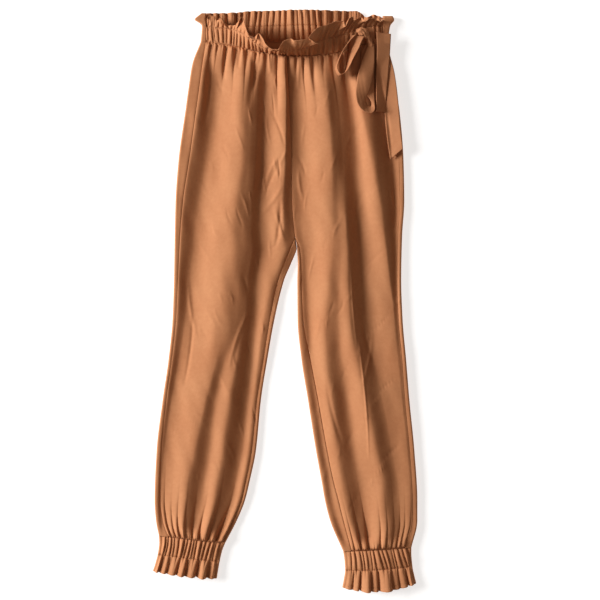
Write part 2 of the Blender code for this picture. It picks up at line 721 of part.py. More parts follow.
def wall(name, rows, colour, closed=False):
    """A closed cloth wall from matching outer and inner rows, with its cut edges."""
    outer, inner = rows
    build = bmesh.new()
    sheets = []
    for side in (outer, inner):
        sheets.append([[build.verts.new(point * MM) for point in row] for row in side])
    edges = {}
    for upper, lower, upper_in, lower_in in zip(sheets[0], sheets[0][1:], sheets[1], sheets[1][1:]):
        count = min(len(upper), len(lower))
        last = count if closed else count - 1
        for i in range(last):
            j = (i + 1) % count
            quad = (upper[i], lower[i], lower[j], upper[j])
            under = (upper_in[i], lower_in[i], lower_in[j], upper_in[j])
            for corners in ((0, 1, 2), (0, 2, 3)):
                build.faces.new([quad[k] for k in corners])
                build.faces.new([under[k] for k in reversed(corners)])
            for k in range(4):
                start, end = quad[k], quad[(k + 1) % 4]
                if (end, start) in edges:
                    del edges[(end, start)]
                else:
                    edges[(start, end)] = (under[k], under[(k + 1) % 4])
    for (start, end), (start_in, end_in) in edges.items():
        build.faces.new((start, end_in, end))
        build.faces.new((start, start_in, end_in))
    bmesh.ops.recalc_face_normals(build, faces=build.faces)
    return new_object(name, build, colour)


def wad(name, rows, colour):
    """A closed solid from rings, with a point at each end."""
    build = bmesh.new()
    rings = [[build.verts.new(point * MM) for point in row] for row in rows]
    for ring, following in zip(rings, rings[1:]):
        for i in range(len(ring)):
            j = (i + 1) % len(ring)
            build.faces.new((ring[i], ring[j], following[j]))
            build.faces.new((ring[i], following[j], following[i]))
    for ring, sign in ((rings[0], -1), (rings[-1], 1)):
        tip = build.verts.new((points(KNOT_CENTRE[0] + sign * KNOT_SIZE[0], *KNOT_CENTRE[1:])) * MM)
        for i in range(len(ring)):
            build.faces.new((tip, ring[i], ring[(i + 1) % len(ring)]))
    bmesh.ops.recalc_face_normals(build, faces=build.faces)
    return new_object(name, build, colour)


SMALL_LOOP_STEPS = 30
LARGE_LOOP_STEPS = 30
SHORT_TAIL_STEPS = 12
LONG_TAIL_STEPS = 20
RUST = (0.56, 0.28, 0.13)
DEEP_RUST = (0.42, 0.19, 0.08)
ROUGHNESS = 0.6

for thing in list(bpy.data.objects):
    bpy.data.objects.remove(thing, do_unlink=True)

for leg, name in ((RIGHT, "right"), (LEFT, "left")):
    wall(f"front_{name}", front_panel(leg), RUST)
    wall(f"back_{name}", back_panel(leg), DEEP_RUST)
    wall(f"cuff_casing_{name}", cuff_casing(leg), RUST, closed=True)
    wall(f"cuff_frill_{name}", cuff_frill(leg), RUST, closed=True)
wall("waist_casing_front", waist_casing_front(), RUST)
wall("waist_frill_front", waist_frill_front(), RUST)
wall("waist_casing_back", back_band(BACK_CASING_ROWS, 2 * BACK_WAVES), DEEP_RUST)
wall("waist_frill_back", back_band(BACK_FRILL_ROWS, BACK_COLUMNS_PER_WAVE * BACK_WAVES), DEEP_RUST)
wall("bow_loop_small", ribbon(SMALL_LOOP, SMALL_LOOP_STEPS), RUST)
wall("bow_loop_large", ribbon(LARGE_LOOP, LARGE_LOOP_STEPS), RUST)
wall("bow_tail_short", ribbon(SHORT_TAIL, SHORT_TAIL_STEPS), DEEP_RUST)
wall("bow_tail_long", ribbon(LONG_TAIL, LONG_TAIL_STEPS), RUST)
wad("bow_knot", knot(), DEEP_RUST)
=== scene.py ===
"""Paperbag waist trousers in soft rust cloth, laid flat on their back on a pale floor.

The fixed frame gives the solids; every sheet of cloth here lies on the form of its own solid.
Frame: +X to the wearer's left, +Y towards the waist, +Z up off the floor. Sizes are in
millimetres and become metres when a mesh is made.
"""
import math

import bmesh
import bpy
import numpy as np
from mathutils import Matrix, Vector


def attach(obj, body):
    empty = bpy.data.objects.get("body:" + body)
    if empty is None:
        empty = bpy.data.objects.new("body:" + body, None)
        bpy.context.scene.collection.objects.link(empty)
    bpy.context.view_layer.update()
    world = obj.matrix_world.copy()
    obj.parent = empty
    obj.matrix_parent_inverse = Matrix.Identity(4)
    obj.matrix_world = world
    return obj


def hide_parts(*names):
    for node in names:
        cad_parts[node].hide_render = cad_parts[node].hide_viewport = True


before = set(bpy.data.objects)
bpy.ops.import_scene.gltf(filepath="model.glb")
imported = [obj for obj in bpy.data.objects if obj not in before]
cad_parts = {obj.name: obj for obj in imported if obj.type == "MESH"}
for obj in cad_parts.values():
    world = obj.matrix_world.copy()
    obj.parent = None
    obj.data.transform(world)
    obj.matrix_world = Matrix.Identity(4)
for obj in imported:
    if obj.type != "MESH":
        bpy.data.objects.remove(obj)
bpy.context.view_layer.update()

# ------ Fronts ------
# Two fronts of soft, peach-faced twill, joined down the middle and sewn to the backs along
# the sides and inseams. They are gathered into the waist and the cuffs, and lie in long folds.
MM = 0.001
CLOTH = 0.7  # thickness of one layer
WAIST_Y = 443.5  # waist seam at the side seams
CROTCH_Y = 89.6  # where the legs part
FORK_Y = 107.0  # where the seams of the crotch meet
LEVEL_REACH = (75.0, 20.0)  # below the waist, where the long folds start to level and have done
DIP_REACH = 150.0  # how far down the sag of the waist seam is felt
ARCH_REACH = 26.0  # how far up the arch of the cuff seam is felt
SWING_REACH = 90.0  # how far up the slant of the cuff seam is felt
CUFF_TOP = 14.0  # height of the cuff seam in its middle
CUFF_EDGE = 10.0  # and at its ends


def table(names, *rows):
    """A short table with named columns."""
    return dict(zip(names.split(), np.array(rows, float).T))


CENTRE_SEAM = table(
    "y x",
    (443.5, 3), (405, 3.4), (367, 5.5), (328, 7), (241, 9.5), (172, 10.3), (107, 16), (89.6, 19),
)
RIGHT_SIDE = table(
    "y edge seam",
    (443.5, -146.5, -137),
    (405, -161, -143),
    (367, -167, -148),
    (328, -172.4, -153.4),
    (241, -184.5, -165.5),
    (172, -189.6, -176),
    (107, -191.2, -181.5),
    (34, -192.5, -185),
    (-34, -195, -188.3),
    (-103, -202, -195.5),
    (-172, -212, -205),
    (-259, -222.4, -213),
    (-345, -225.8, -215.5),
    (-379, -223.5, -211),
    (-404.5, -218.4, -201),
)
RIGHT_INSIDE = table(
    "y edge seam",
    (107, 22, 16),
    (89.6, 19, 8.5),
    (60, 7.5, -3),
    (34, -3.4, -13),
    (-34, -20, -27.5),
    (-103, -32.3, -38.5),
    (-172, -43.1, -49.5),
    (-259, -51.7, -58.5),
    (-310, -62.1, -68.5),
    (-345, -70.7, -77),
    (-379, -84.5, -91.5),
    (-417.6, -104.5, -111),
)
LEFT_SIDE = table(
    "y edge seam",
    (443.5, 175, 166),
    (405, 179, 171),
    (367, 187, 179),
    (328, 194.8, 187),
    (241, 202, 194.5),
    (172, 203.4, 196),
    (107, 199.5, 192.3),
    (34, 198, 191),
    (-34, 200.5, 193.5),
    (-103, 206.5, 199.5),
    (-172, 212.1, 204.5),
    (-259, 220.7, 212.5),
    (-345, 225.8, 217),
    (-379, 225.8, 216),
    (-425.2, 215.5, 204),
)
LEFT_INSIDE = table(
    "y edge seam",
    (107, 18, 16),
    (89.6, 19, 23.5),
    (60, 20.3, 26.8),
    (34, 19.5, 27),
    (-34, 20, 30),
    (-103, 26.8, 42.5),
    (-172, 37.9, 55.5),
    (-259, 51.7, 71),
    (-310, 61, 81.5),
    (-345, 67.2, 90.7),
    (-379, 75.9, 99),
    (-431.7, 98.3, 113),
)
RIGHT_CUFF = ((-218.4, -404.5), (-104.5, -417.6))
LEFT_CUFF = ((215.5, -425.2), (98.3, -431.7))

# The long folds at six heights: a share of the way in from the outer edge, and a height.
FOLD_Y = np.array([353.0, 241.0, 103.0, -34.0, -172.0, -310.0])
RIGHT_FOLDS = (
    ("outer edge", (0.03, 0.03, 0.02, 0.02, 0.02, 0.02), (12, 12.5, 11, 9.5, 8.5, 8.5)),
    ("hip shelf", (0.125, 0.085, 0.036, 0.032, 0.03, 0.03), (12.8, 13, 11, 9.5, 8.5, 8.5)),
    ("hip hollow", (0.27, 0.25, 0.165, 0.13, 0.095, 0.075), (3.4, 3, 3.2, 4.4, 5.4, 6.2)),
    ("main ridge", (0.555, 0.56, 0.489, 0.51, 0.435, 0.345), (21, 22.5, 22.5, 20.5, 18, 16.5)),
    ("shin dip", (0.621, 0.625, 0.563, 0.62, 0.541, 0.515), (19, 20, 20, 18, 13, 8.4)),
    ("inner ridge", (0.68, 0.676, 0.631, 0.70, 0.675, 0.66), (15, 15.5, 15.5, 14, 18.6, 16.5)),
    ("thigh hollow", (0.765, 0.745, 0.715, 0.815, 0.86, 0.85), (6, 5.4, 6, 5.2, 5, 5)),
    ("centre ridge", (0.968, 0.94, 0.90, 0.905, 0.93, 0.93), (17, 16.5, 13.5, 9.5, 9, 9)),
    ("inner edge", (1, 1, 1, 0.975, 0.975, 0.975), (10.5, 9, 7.5, 8, 8, 8)),
)
LEFT_FOLDS = (
    ("outer edge", (0.03, 0.03, 0.02, 0.02, 0.02, 0.02), (9, 9.5, 10, 11, 11, 10)),
    ("pocket hollow", (0.104, 0.105, 0.06, 0.045, 0.045, 0.045), (4.4, 4.4, 6.5, 9.4, 11, 9.8)),
    ("hip ridge", (0.357, 0.285, 0.17, 0.085, 0.08, 0.075), (18, 21, 17, 11, 12, 10.2)),
    ("outer hollow", (0.432, 0.425, 0.39, 0.335, 0.26, 0.2), (9, 7, 5.2, 5.6, 11, 9.4)),
    ("shin ridge", (0.54, 0.539, 0.53, 0.51, 0.435, 0.36), (15.6, 15.6, 20.8, 20.5, 20.5, 17)),
    ("shin hollow", (0.592, 0.593, 0.59, 0.62, 0.624, 0.602), (19, 20.5, 20.2, 16, 9, 5.4)),
    ("main ridge", (0.658, 0.646, 0.65, 0.727, 0.772, 0.78), (23, 23.5, 20.6, 18.5, 16.5, 14)),
    ("centre hollow", (0.93, 0.93, 0.93, 0.898, 0.92, 0.92), (8.6, 7.6, 6, 5.5, 5.5, 6)),
    ("inner edge", (1, 1, 1, 0.975, 0.975, 0.975), (10.5, 9, 7.5, 8, 8, 8)),
)
# The front of the waist, from the right side seam to the left one: its seam, and how far the
# casing above it is turned up, in degrees.
WAIST = table(
    "x seam_y seam_z lean",
    (-137, 443.5, 10, 0),
    (-122, 440.5, 11.5, 5),
    (-100, 437.4, 12.5, 9),
    (-78, 433, 13.5, 32),
    (-62, 429.3, 14.5, 61),
    (-45, 425, 15, 78),
    (-28, 423.5, 15.5, 91),
    (-10, 420.5, 16, 94),
    (7, 419.2, 16, 86),
    (24, 418.2, 16, 79),
    (41, 418.2, 15.5, 66),
    (62, 420.3, 15, 34),
    (84, 423.3, 14, 16),
    (110, 431.2, 13, 14),
    (145, 441, 12, 8),
    (166, 443.5, 10, 0),
)
# Sharper creases, each from one place to another: its half width, its height (a
# trough below 0) and how far its middle bows to the left of its way.
CREASES = table(
    "x y to_x to_y half_width height bow",
    (-124, 440, -140, 300, 5, -3.5, 0),
    (-100, 436, -106, 376, 3.2, -2.6, 2),
    (-78, 432, -82, 395, 3, -1.8, 0),
    (-59, 428, -56, 360, 4, -2.8, -2),
    (-40, 424, -62, 330, 5, -2.5, 4),
    (-29, 422, -27, 388, 3, 1.6, 0),
    (-17, 420, -14, 320, 5, -2.4, 0),
    (22, 418, 20, 360, 3.4, 2, 0),
    (44, 418, 52, 350, 4.5, -2, 0),
    (-35, 318, -8, 200, 2.6, 1.5, 5),
    (-26, 325, -2, 262, 2.4, -1.4, -3),
    (-38, 296, -20, 226, 2.4, -1.5, -2),
    (-8, 250, -34, 205, 2.3, 1.6, 3),
    (-10, 232, -36, 176, 2.3, -1.4, 4),
    (-6, 196, -40, 152, 2.4, 1.6, -3),
    (-10, 172, -18, 90, 3.4, -2.2, -3),
    (4, 262, -12, 228, 2.2, 1.2, 0),
    (-20, 160, -2, 96, 3.2, 1.4, 0),
    (22, 226, 30, 170, 3, 1.3, 3),
    (20, 246, 34, 214, 2.4, -1.1, -2),
    (182, 250, 187, 120, 4, -2.2, -3),
    (178, 196, 190, 150, 2.4, 1.2, 2),
    (112, 60, 122, -80, 2, 1.2, 2),
    (124, -66, 142, -276, 1.8, 1.3, -3),
    (130, -20, 152, -110, 3.2, -1.2, 4),
    (148, -60, 128, -150, 3, 1.3, -4),
    (-168, 40, -150, -70, 3.2, 1.2, 5),
    (-160, -20, -176, -150, 3, -1.2, -4),
    (-64, -20, -98, -120, 3.4, 1.1, 4),
    (70, -140, 98, -250, 3.6, -1.3, 4),
)


def tangents(slopes, first, last):
    """Slopes at the stations of a smooth line, so that it never overshoots them."""
    product = slopes[:-1] * slopes[1:]
    total = np.where(product > 0, slopes[:-1] + slopes[1:], 1.0)
    return np.concatenate((first, np.where(product > 0, 2 * product / total, 0.0), last))


def between(u, step, low, high, leave, arrive):
    """The smooth line a share u of the way from one station to the next."""
    start = (1 + 2 * u) * (1 - u) ** 2 * low + u * (1 - u) ** 2 * step * leave
    end = u**2 * (3 - 2 * u) * high - u**2 * (1 - u) * step * arrive
    return start + end


def curve(stations, values, at):
    """A smooth curve through the stations that never overshoots them."""
    order = np.argsort(stations)
    stations = np.asarray(stations, float)[order]
    values = np.asarray(values, float)[order]
    steps = np.diff(stations)
    slopes = np.diff(values) / steps
    ways = tangents(slopes, slopes[:1], slopes[-1:])
    at = np.clip(at, stations[0], stations[-1])
    i = np.clip(np.searchsorted(stations, at, side="right") - 1, 0, len(steps) - 1)
    u = (at - stations[i]) / steps[i]
    return between(u, steps[i], values[i], values[i + 1], ways[i], ways[i + 1])


def ease(value, start, end):
    """0 before start, 1 past end, and smooth between them."""
    u = np.clip((np.asarray(value, float) - start) / (end - start), 0, 1)
    return u * u * (3 - 2 * u)


def fade_ends(share, reach):
    """0 at both ends of a row and 1 between them, from a share of the way along it."""
    return ease(np.minimum(share, 1 - share), 0, reach)


def uneven(index):
    """A steady, repeatable variation about 1 for the index-th gather."""
    return 1 + 0.34 * np.sin(index * 2.4 + 0.7) + 0.22 * np.sin(index * 5.1)


def points(x, y, z):
    """Rows of points from numbers or arrays of one shape."""
    return np.stack(np.broadcast_arrays(np.asarray(x, float), y, z), axis=-1)


def read(rows, name, at):
    """A column of a table, read smoothly along the table's first column."""
    return curve(next(iter(rows.values())), rows[name], at)


def rows_at(rows, at):
    """Every column of a table, read smoothly at a place counted in rows."""
    return [curve(range(len(column)), column, at) for column in rows.values()]


def last_row(rows):
    """The number of a table's last row, counted from 0."""
    return len(next(iter(rows.values()))) - 1


def across_folds(places, heights, at):
    """Height at a place on each row, on a smooth line through that row's own folds."""
    steps = np.diff(places, axis=0)
    level = np.zeros(steps[:1].shape)
    ways = tangents(np.diff(heights, axis=0) / steps, level, level)
    number = np.clip((at >= places).sum(axis=0) - 1, 0, len(steps) - 1)[None]
    start, step, low, high, leave, arrive = [
        np.take_along_axis(rows, number, 0)[0]
        for rows in (places, steps, heights, heights[1:], ways, ways[1:])
    ]
    u = np.clip((at - start) / step, 0, 1)
    return between(u, step, low, high, leave, arrive)


class Leg:
    """One half of the trousers, with the shape of its upper side over the whole half."""

    def __init__(self, sign, side_seam, side, inside, folds, cuff):
        self.sign = sign  # +1 on the wearer's left, -1 on the right
        self.side_seam = side_seam  # how deep the side seam sinks
        self.side = side
        self.inside = inside
        self.folds = folds
        self.cuff = cuff
        self.end = (cuff[0][1] + cuff[1][1]) / 2
        self.tilt = cuff[0][1] - cuff[1][1]

    def outer(self, name, y):
        return read(self.side, name, y)

    def inner(self, name, y):
        start = CROTCH_Y if name == "edge" else FORK_Y
        own = read(self.inside, name, y)
        return np.where(y >= start, read(CENTRE_SEAM, "x", y), own)

    def share(self, x, y):
        edge = self.outer("edge", y)
        return np.clip((x - edge) / (self.inner("edge", y) - edge), 0, 1)

    def swing(self, level, share):
        """How far a row near the slanting cuff is moved along the leg."""
        return self.tilt * ease(level, self.end + SWING_REACH, self.end) * (0.5 - share)

    def ends(self, name, level):
        """Both ends of a row: its edges or its seams."""
        outer = self.outer(name, level + self.swing(level, 0))
        return outer, self.inner(name, level + self.swing(level, 1))

    def top(self, x, y):
        """The long folds alone, levelling out towards the waist and the cuff."""
        share = self.share(x, y)
        still = np.zeros(share.shape)
        places = np.array([curve(FOLD_Y, row[1], y) + still for row in self.folds])
        heights = np.array([curve(FOLD_Y, row[2], y) + still for row in self.folds])
        z = across_folds(places, heights, share)
        near_waist = ease(y, WAIST_Y - LEVEL_REACH[0], WAIST_Y - LEVEL_REACH[1])
        z = z + (read(WAIST, "seam_z", x) - z) * near_waist
        cuff_y = self.end + self.swing(self.end, share)
        arch = CUFF_EDGE + (CUFF_TOP - CUFF_EDGE) * np.sin(np.pi * share)
        return z + (arch - z) * ease(y, cuff_y + ARCH_REACH, cuff_y)


RIGHT = Leg(-1, 0.45, RIGHT_SIDE, RIGHT_INSIDE, RIGHT_FOLDS, RIGHT_CUFF)
LEFT = Leg(1, 0.2, LEFT_SIDE, LEFT_INSIDE, LEFT_FOLDS, LEFT_CUFF)

CRINKLES = 120
CRINKLE_RANGES = (  # the range of each measure, and the step that scatters it
    ("x", -215, 205, 0.6180339),
    ("y", 400, -360, 0.7548776),
    ("length", 14, 44, 0.5698402),
    ("angle", -145, -35, 0.3819660),
    ("half_width", 1.1, 2.1, 0.4142135),
    ("height", 0.5, 1.1, 0.2360679),
    ("bow", -3, 3, 0.7320508),
)


def crinkles():
    """Short slight creases, well scattered over both fronts and the same in every run. They
    mostly slant, and each third one is a trough."""
    rows = []
    for index in range(1, CRINKLES + 1):
        x, y, length, angle, half_width, height, bow = [
            low + (high - low) * ((index * step) % 1.0) for _, low, high, step in CRINKLE_RANGES
        ]
        to_x = x + length * math.cos(math.radians(angle))
        to_y = y + length * math.sin(math.radians(angle))
        rows.append((x, y, to_x, to_y, half_width, height if index % 3 else -height, bow))
    return rows


ALL_CREASES = list(zip(*CREASES.values())) + crinkles()


def crease_height(x, y):
    """What the creases add to the cloth at a place."""
    z = np.zeros(np.broadcast(x, y).shape)
    top = np.max(y) + 8
    bottom = np.min(y) - 8
    for x0, y0, x1, y1, half_width, height, bow in ALL_CREASES:
        if min(y0, y1) > top or max(y0, y1) < bottom:
            continue
        length = math.hypot(x1 - x0, y1 - y0)
        along = np.clip(((x - x0) * (x1 - x0) + (y - y0) * (y1 - y0)) / length**2, 0, 1)
        aside = ((x - x0) * (y1 - y0) - (y - y0) * (x1 - x0)) / length
        aside = aside - 4 * bow * along * (1 - along)
        z = z + height * np.sin(np.pi * along) ** 0.7 * np.exp(-((aside / half_width) ** 2))
    return z


def soft_unevenness(x, y):
    """The slight waviness that soft cloth always keeps, longer down the leg than across it."""
    z = 0.55 * np.sin(x / 13 + 0.9 * np.sin(y / 61 + 1) + 0.4) * np.sin(y / 83 + x / 90)
    z += 0.38 * np.sin(x / 6.8 + 1.3 * np.sin(y / 37)) * np.sin(y / 47 + 2.1 + x / 50)
    return z + 0.22 * np.sin(x / 4.1 + y / 29 + 1.7 * np.sin(y / 23)) * np.sin(y / 31 + 0.5)


def spaced(start, end, pitch, first=0.0):
    """Places of the creases between small gathers, unevenly spaced about a pitch."""
    index = np.arange(int((end - start) / pitch) + 4)
    gaps = pitch * (1 + 0.3 * np.sin(index * 2.4 + first) + 0.2 * np.sin(index * 5.3 + 2 * first))
    return start - pitch + np.cumsum(gaps)


SKEW = 1.7  # a leg's gathers fall off sharply on the wearer's left of their crests


def gathers(place, away, creases, size, reach, first=0.0, skew=1.0):
    """Ridges off a gathered seam between its creases, each with its own height and length.
    A skew above 1 moves their crests on from the middle, so that they fall off sharply."""
    creases = np.asarray(creases, float)
    number = np.clip(np.searchsorted(creases, place, side="right") - 1, 0, len(creases) - 2)
    gap = creases[number + 1] - creases[number]
    local = np.clip((place - creases[number]) / gap, 0, 1)
    ridge = np.sin(np.pi * local**skew) ** 0.6 - 0.5
    width = np.clip(gap / np.diff(creases).mean(), 0.55, 1.5)
    own_reach = reach * (0.66 + 0.3 * np.sin(number * 1.9 + first) + 0.22 * np.sin(number * 4.3))
    fade = np.exp(-((away / np.maximum(own_reach, 3)) ** 1.3))
    return size * width * uneven(number + first) * ridge * fade


TAUT_REACH = 30.0  # from a gathered seam to where the cloth waves freely


def lie(leg, x, y):
    """Height of the cloth's upper side with its creases, but without its gathers."""
    free = ease(y, WAIST_Y, WAIST_Y - TAUT_REACH) * ease(y, leg.end, leg.end + TAUT_REACH)
    return leg.top(x, y) + crease_height(x, y) + soft_unevenness(x, y) * (0.25 + 0.75 * free)


SEAM_HALF_WIDTH = 2.0
SEAM_SINK = 0.9
INSEAM_SINK = 0.55
CUFF_SEAM_SINK = 1.5


def seam_sink(distance, depth=SEAM_SINK):
    """How far cloth dips as it is drawn down into a seam."""
    return -depth * np.exp(-((distance / SEAM_HALF_WIDTH) ** 2))


def waist_dip(x, level):
    """How far a row lies below its level, where the waist seam sags in the middle."""
    sag = WAIST_Y - read(WAIST, "seam_y", x)
    return sag * ease(level, WAIST_Y - DIP_REACH, WAIST_Y)


CLOSE_BELOW_WAIST = 49.0
CLOSE_ABOVE_CUFF = 42.0
FRONT_COLUMNS = 151


def leg_rows(leg):
    """Levels of the rows across a leg, close together near its gathered ends."""
    return np.concatenate((
        np.linspace(WAIST_Y, WAIST_Y - CLOSE_BELOW_WAIST, 36),
        np.linspace(WAIST_Y - CLOSE_BELOW_WAIST - 1, leg.end + CLOSE_ABOVE_CUFF + 2, 196),
        np.linspace(leg.end + CLOSE_ABOVE_CUFF, leg.end, 28),
    ))


def row_share(leg, x, level):
    """The share of the way from the outer edge to the inner one along a row."""
    start, end = leg.ends("edge", level)
    return (x - start) / (end - start)


def pucker(place):
    """The tight crinkle of cloth caught in an elastic seam."""
    return np.sin(place / 0.92 + 1.4 * np.sin(place / 7)) * (0.6 + 0.4 * np.sin(place / 11 + 1))


CUFF_SEAM = 112.0  # length of a cuff seam as it lies
# Where the deep creases leave the waist seam, and the cuff seams from their outer ends.
WAIST_CREASES = (
    -142, -128, -117, -103, -86, -67, -52, -34, -16, 3, 17, 29, 45, 62, 77, 95, 110, 127, 143,
    156, 170,
)
CUFF_CREASES = {
    -1: (-5, 6, 15.5, 24.8, 38.4, 49.3, 63.7, 81.4, 98.3, 116),
    1: (-6, 2, 11.5, 19.8, 29.7, 41, 52.8, 77.5, 92.4, 105.6, 118),
}
SMALL_WAIST_CREASES = spaced(-145, 175, 5.6, 0.4)
SMALL_CUFF_CREASES = spaced(0, CUFF_SEAM, 4.8, 1.3)
# Height and reach of the gathers off each seam, and where their variation starts.
WAIST_GATHERS = (5.2, 62, 0)
SMALL_WAIST_GATHERS = (1.8, 15, 1.7)
CUFF_GATHERS = (6.2, 58, 0.6)
SMALL_CUFF_GATHERS = (1.5, 12, 2.1)
PUCKER_LIFT = 0.6  # how far the puckers of the waist seam lift the cloth
PUCKER_SHIFT = 0.7  # and move it along the leg
BLOUSE = 3.0  # how far the cloth blouses out over the cuff seam
BLOUSE_PLACE = 9.0  # above the seam
BLOUSE_HALF_WIDTH = 8.0


def front(leg):
    """Rows of points over a front, from its waist seam down to its cuff seam."""
    rows = []
    seam_place = np.linspace(*leg.ends("seam", WAIST_Y), FRONT_COLUMNS)
    cuff_place = np.linspace(0, CUFF_SEAM, FRONT_COLUMNS)
    skew = SKEW ** -leg.sign
    for level in leg_rows(leg):
        x = np.linspace(*leg.ends("seam", level), FRONT_COLUMNS)
        y = level + leg.swing(level, row_share(leg, x, level)) - waist_dip(x, level)
        below = WAIST_Y - level
        above = level - leg.end
        z = lie(leg, x, y)
        for place, away, creases, sizes, full, lean_over in (
            (seam_place, below, WAIST_CREASES, WAIST_GATHERS, 6, SKEW),
            (seam_place, below, SMALL_WAIST_CREASES, SMALL_WAIST_GATHERS, 3, SKEW),
            (cuff_place, above, CUFF_CREASES[leg.sign], CUFF_GATHERS, 5, skew),
            (cuff_place, above, SMALL_CUFF_CREASES, SMALL_CUFF_GATHERS, 3, skew),
        ):
            z = z + gathers(place, away, creases, *sizes, lean_over) * ease(away, 0, full)
        swell = BLOUSE * np.exp(-(((above - BLOUSE_PLACE) / BLOUSE_HALF_WIDTH) ** 2))
        z = z + swell * np.sin(np.pi * cuff_place / CUFF_SEAM) ** 0.5
        z = z + PUCKER_LIFT * pucker(seam_place) * np.exp(-below / 4)
        y = y + PUCKER_SHIFT * pucker(seam_place + 1.1) * np.exp(-below / 3)
        z = z + seam_sink(x - x[0], leg.side_seam) + seam_sink(x - x[-1], INSEAM_SINK)
        z = z + seam_sink(below) + seam_sink(above, CUFF_SEAM_SINK)
        rows.append(points(x, y, z))
    return rows


def new_object(name, data):
    """An object at the origin, in the scene."""
    made = bpy.data.objects.new(name, data)
    bpy.context.scene.collection.objects.link(made)
    return made


def travelled(row):
    """How far it is along a row of points to each of them."""
    return np.concatenate(([0], np.cumsum(np.linalg.norm(np.diff(row, axis=0), axis=1))))


def cloth_sheet(name, rows, closed=False, turned=False, thickness=CLOTH):
    """Rows of points as a sheet of cloth, its cut laid out flat in metres as its UV map.
    Turned swaps its two sides, for rows that run the other way round."""
    if closed:
        rows = [np.concatenate((row, row[:1])) for row in rows]
    firsts = np.cumsum([0] + [len(row) for row in rows])
    flat_points = np.concatenate(rows) * MM
    across = []
    down = []
    fallen = 0.0
    for number, row in enumerate(rows):
        way = travelled(row)
        across.append(way - way[len(rows[0]) // 2])
        if number:
            count = min(len(row), len(rows[number - 1]), len(rows[0]))
            fallen += np.linalg.norm(row[:count] - rows[number - 1][:count], axis=1).mean()
        down.append(np.full(len(row), fallen))
    cut = np.column_stack((np.concatenate(across), -np.concatenate(down))) * MM
    faces = []
    for number in range(len(rows) - 1):
        count = min(len(rows[number]), len(rows[number + 1])) - 1
        upper = firsts[number] + np.arange(count)
        lower = firsts[number + 1] + np.arange(count)
        faces.append(np.column_stack((upper, lower, lower + 1, upper + 1)))
    faces = np.concatenate(faces)
    if turned:
        faces = faces[:, ::-1]
    mesh = bpy.data.meshes.new(name)
    mesh.from_pydata(flat_points.tolist(), [], faces.tolist())
    layer = mesh.uv_layers.new(name="cut")
    layer.data.foreach_set("uv", cut[faces.ravel()].ravel())
    used = bmesh.new()
    used.from_mesh(mesh)
    if closed:
        bmesh.ops.remove_doubles(used, verts=used.verts, dist=1e-6)
    loose = [vertex for vertex in used.verts if not vertex.link_faces]
    bmesh.ops.delete(used, geom=loose, context="VERTS")
    used.to_mesh(mesh)
    used.free()
    mesh.shade_smooth()
    piece = new_object(name, mesh)
    wall = piece.modifiers.new("layer", "SOLIDIFY")
    wall.thickness = thickness * MM
    wall.offset = -1
    return piece


MIX_FACTOR, MIX_FIRST, MIX_SECOND = 0, 6, 7  # a Mix node's inputs for colours
MIX_RESULT = 2  # and its output


class Wire:
    """A shader socket whose sums and products add the Math nodes that work them out."""

    def __init__(self, tree, socket):
        self.tree = tree
        self.socket = socket

    def node(self, kind, settings=None, values=None, out=0):
        """Any other node: its type, its settings, then the values or wires of its sockets."""
        added = self.tree.nodes.new(kind)
        for name, value in (settings or {}).items():
            setattr(added, name, value)
        for name, value in (values or {}).items():
            if isinstance(value, Wire):
                self.tree.links.new(value.socket, added.inputs[name])
            else:
                added.inputs[name].default_value = value
        return Wire(self.tree, added.outputs[out])

    def maths(self, operation, *values):
        return self.node("ShaderNodeMath", {"operation": operation}, dict(enumerate(values)))

    def __add__(self, other):
        return self.maths("ADD", self, other)

    def __sub__(self, other):
        return self.maths("SUBTRACT", self, other)

    def __rsub__(self, other):
        return self.maths("SUBTRACT", other, self)

    def __mul__(self, other):
        return self.maths("MULTIPLY", self, other)

    __radd__ = __add__
    __rmul__ = __mul__

    def axes(self):
        """A vector's three numbers."""
        split = self.node("ShaderNodeSeparateXYZ", values={"Vector": self})
        return [Wire(self.tree, output) for output in split.socket.node.outputs]

    def noise(self, scale, detail):
        """Soft uneven spots over a surface whose places this vector gives."""
        values = {"Vector": self, "Scale": scale, "Detail": detail}
        return self.node("ShaderNodeTexNoise", values=values)

    def mix(self, first, second):
        """The first colour where this is 0, and the second where it is 1."""
        colours = {MIX_FACTOR: self, MIX_FIRST: first, MIX_SECOND: second}
        return self.node("ShaderNodeMix", {"data_type": "RGBA"}, colours, out=MIX_RESULT)


def new_shader(name, values):
    """A material, its Principled shader with these values and a wire to start its maths from."""
    material = bpy.data.materials.new(name)
    material.use_nodes = True
    shader = material.node_tree.nodes["Principled BSDF"]
    for socket, value in values.items():
        shader.inputs[socket].default_value = value
    return material, shader, Wire(material.node_tree, None)


def surface(material, shader, colour, relief, strength, depth):
    """Give a material its varying colour and its fine relief."""
    values = {"Height": relief, "Strength": strength, "Distance": depth}
    bump = relief.node("ShaderNodeBump", values=values)
    material.node_tree.links.new(colour.socket, shader.inputs["Base Color"])
    material.node_tree.links.new(bump.socket, shader.inputs["Normal"])


RIB_PITCH = 0.00085  # metres, across the twill's diagonal ribs
YARN_PITCH = 0.0006


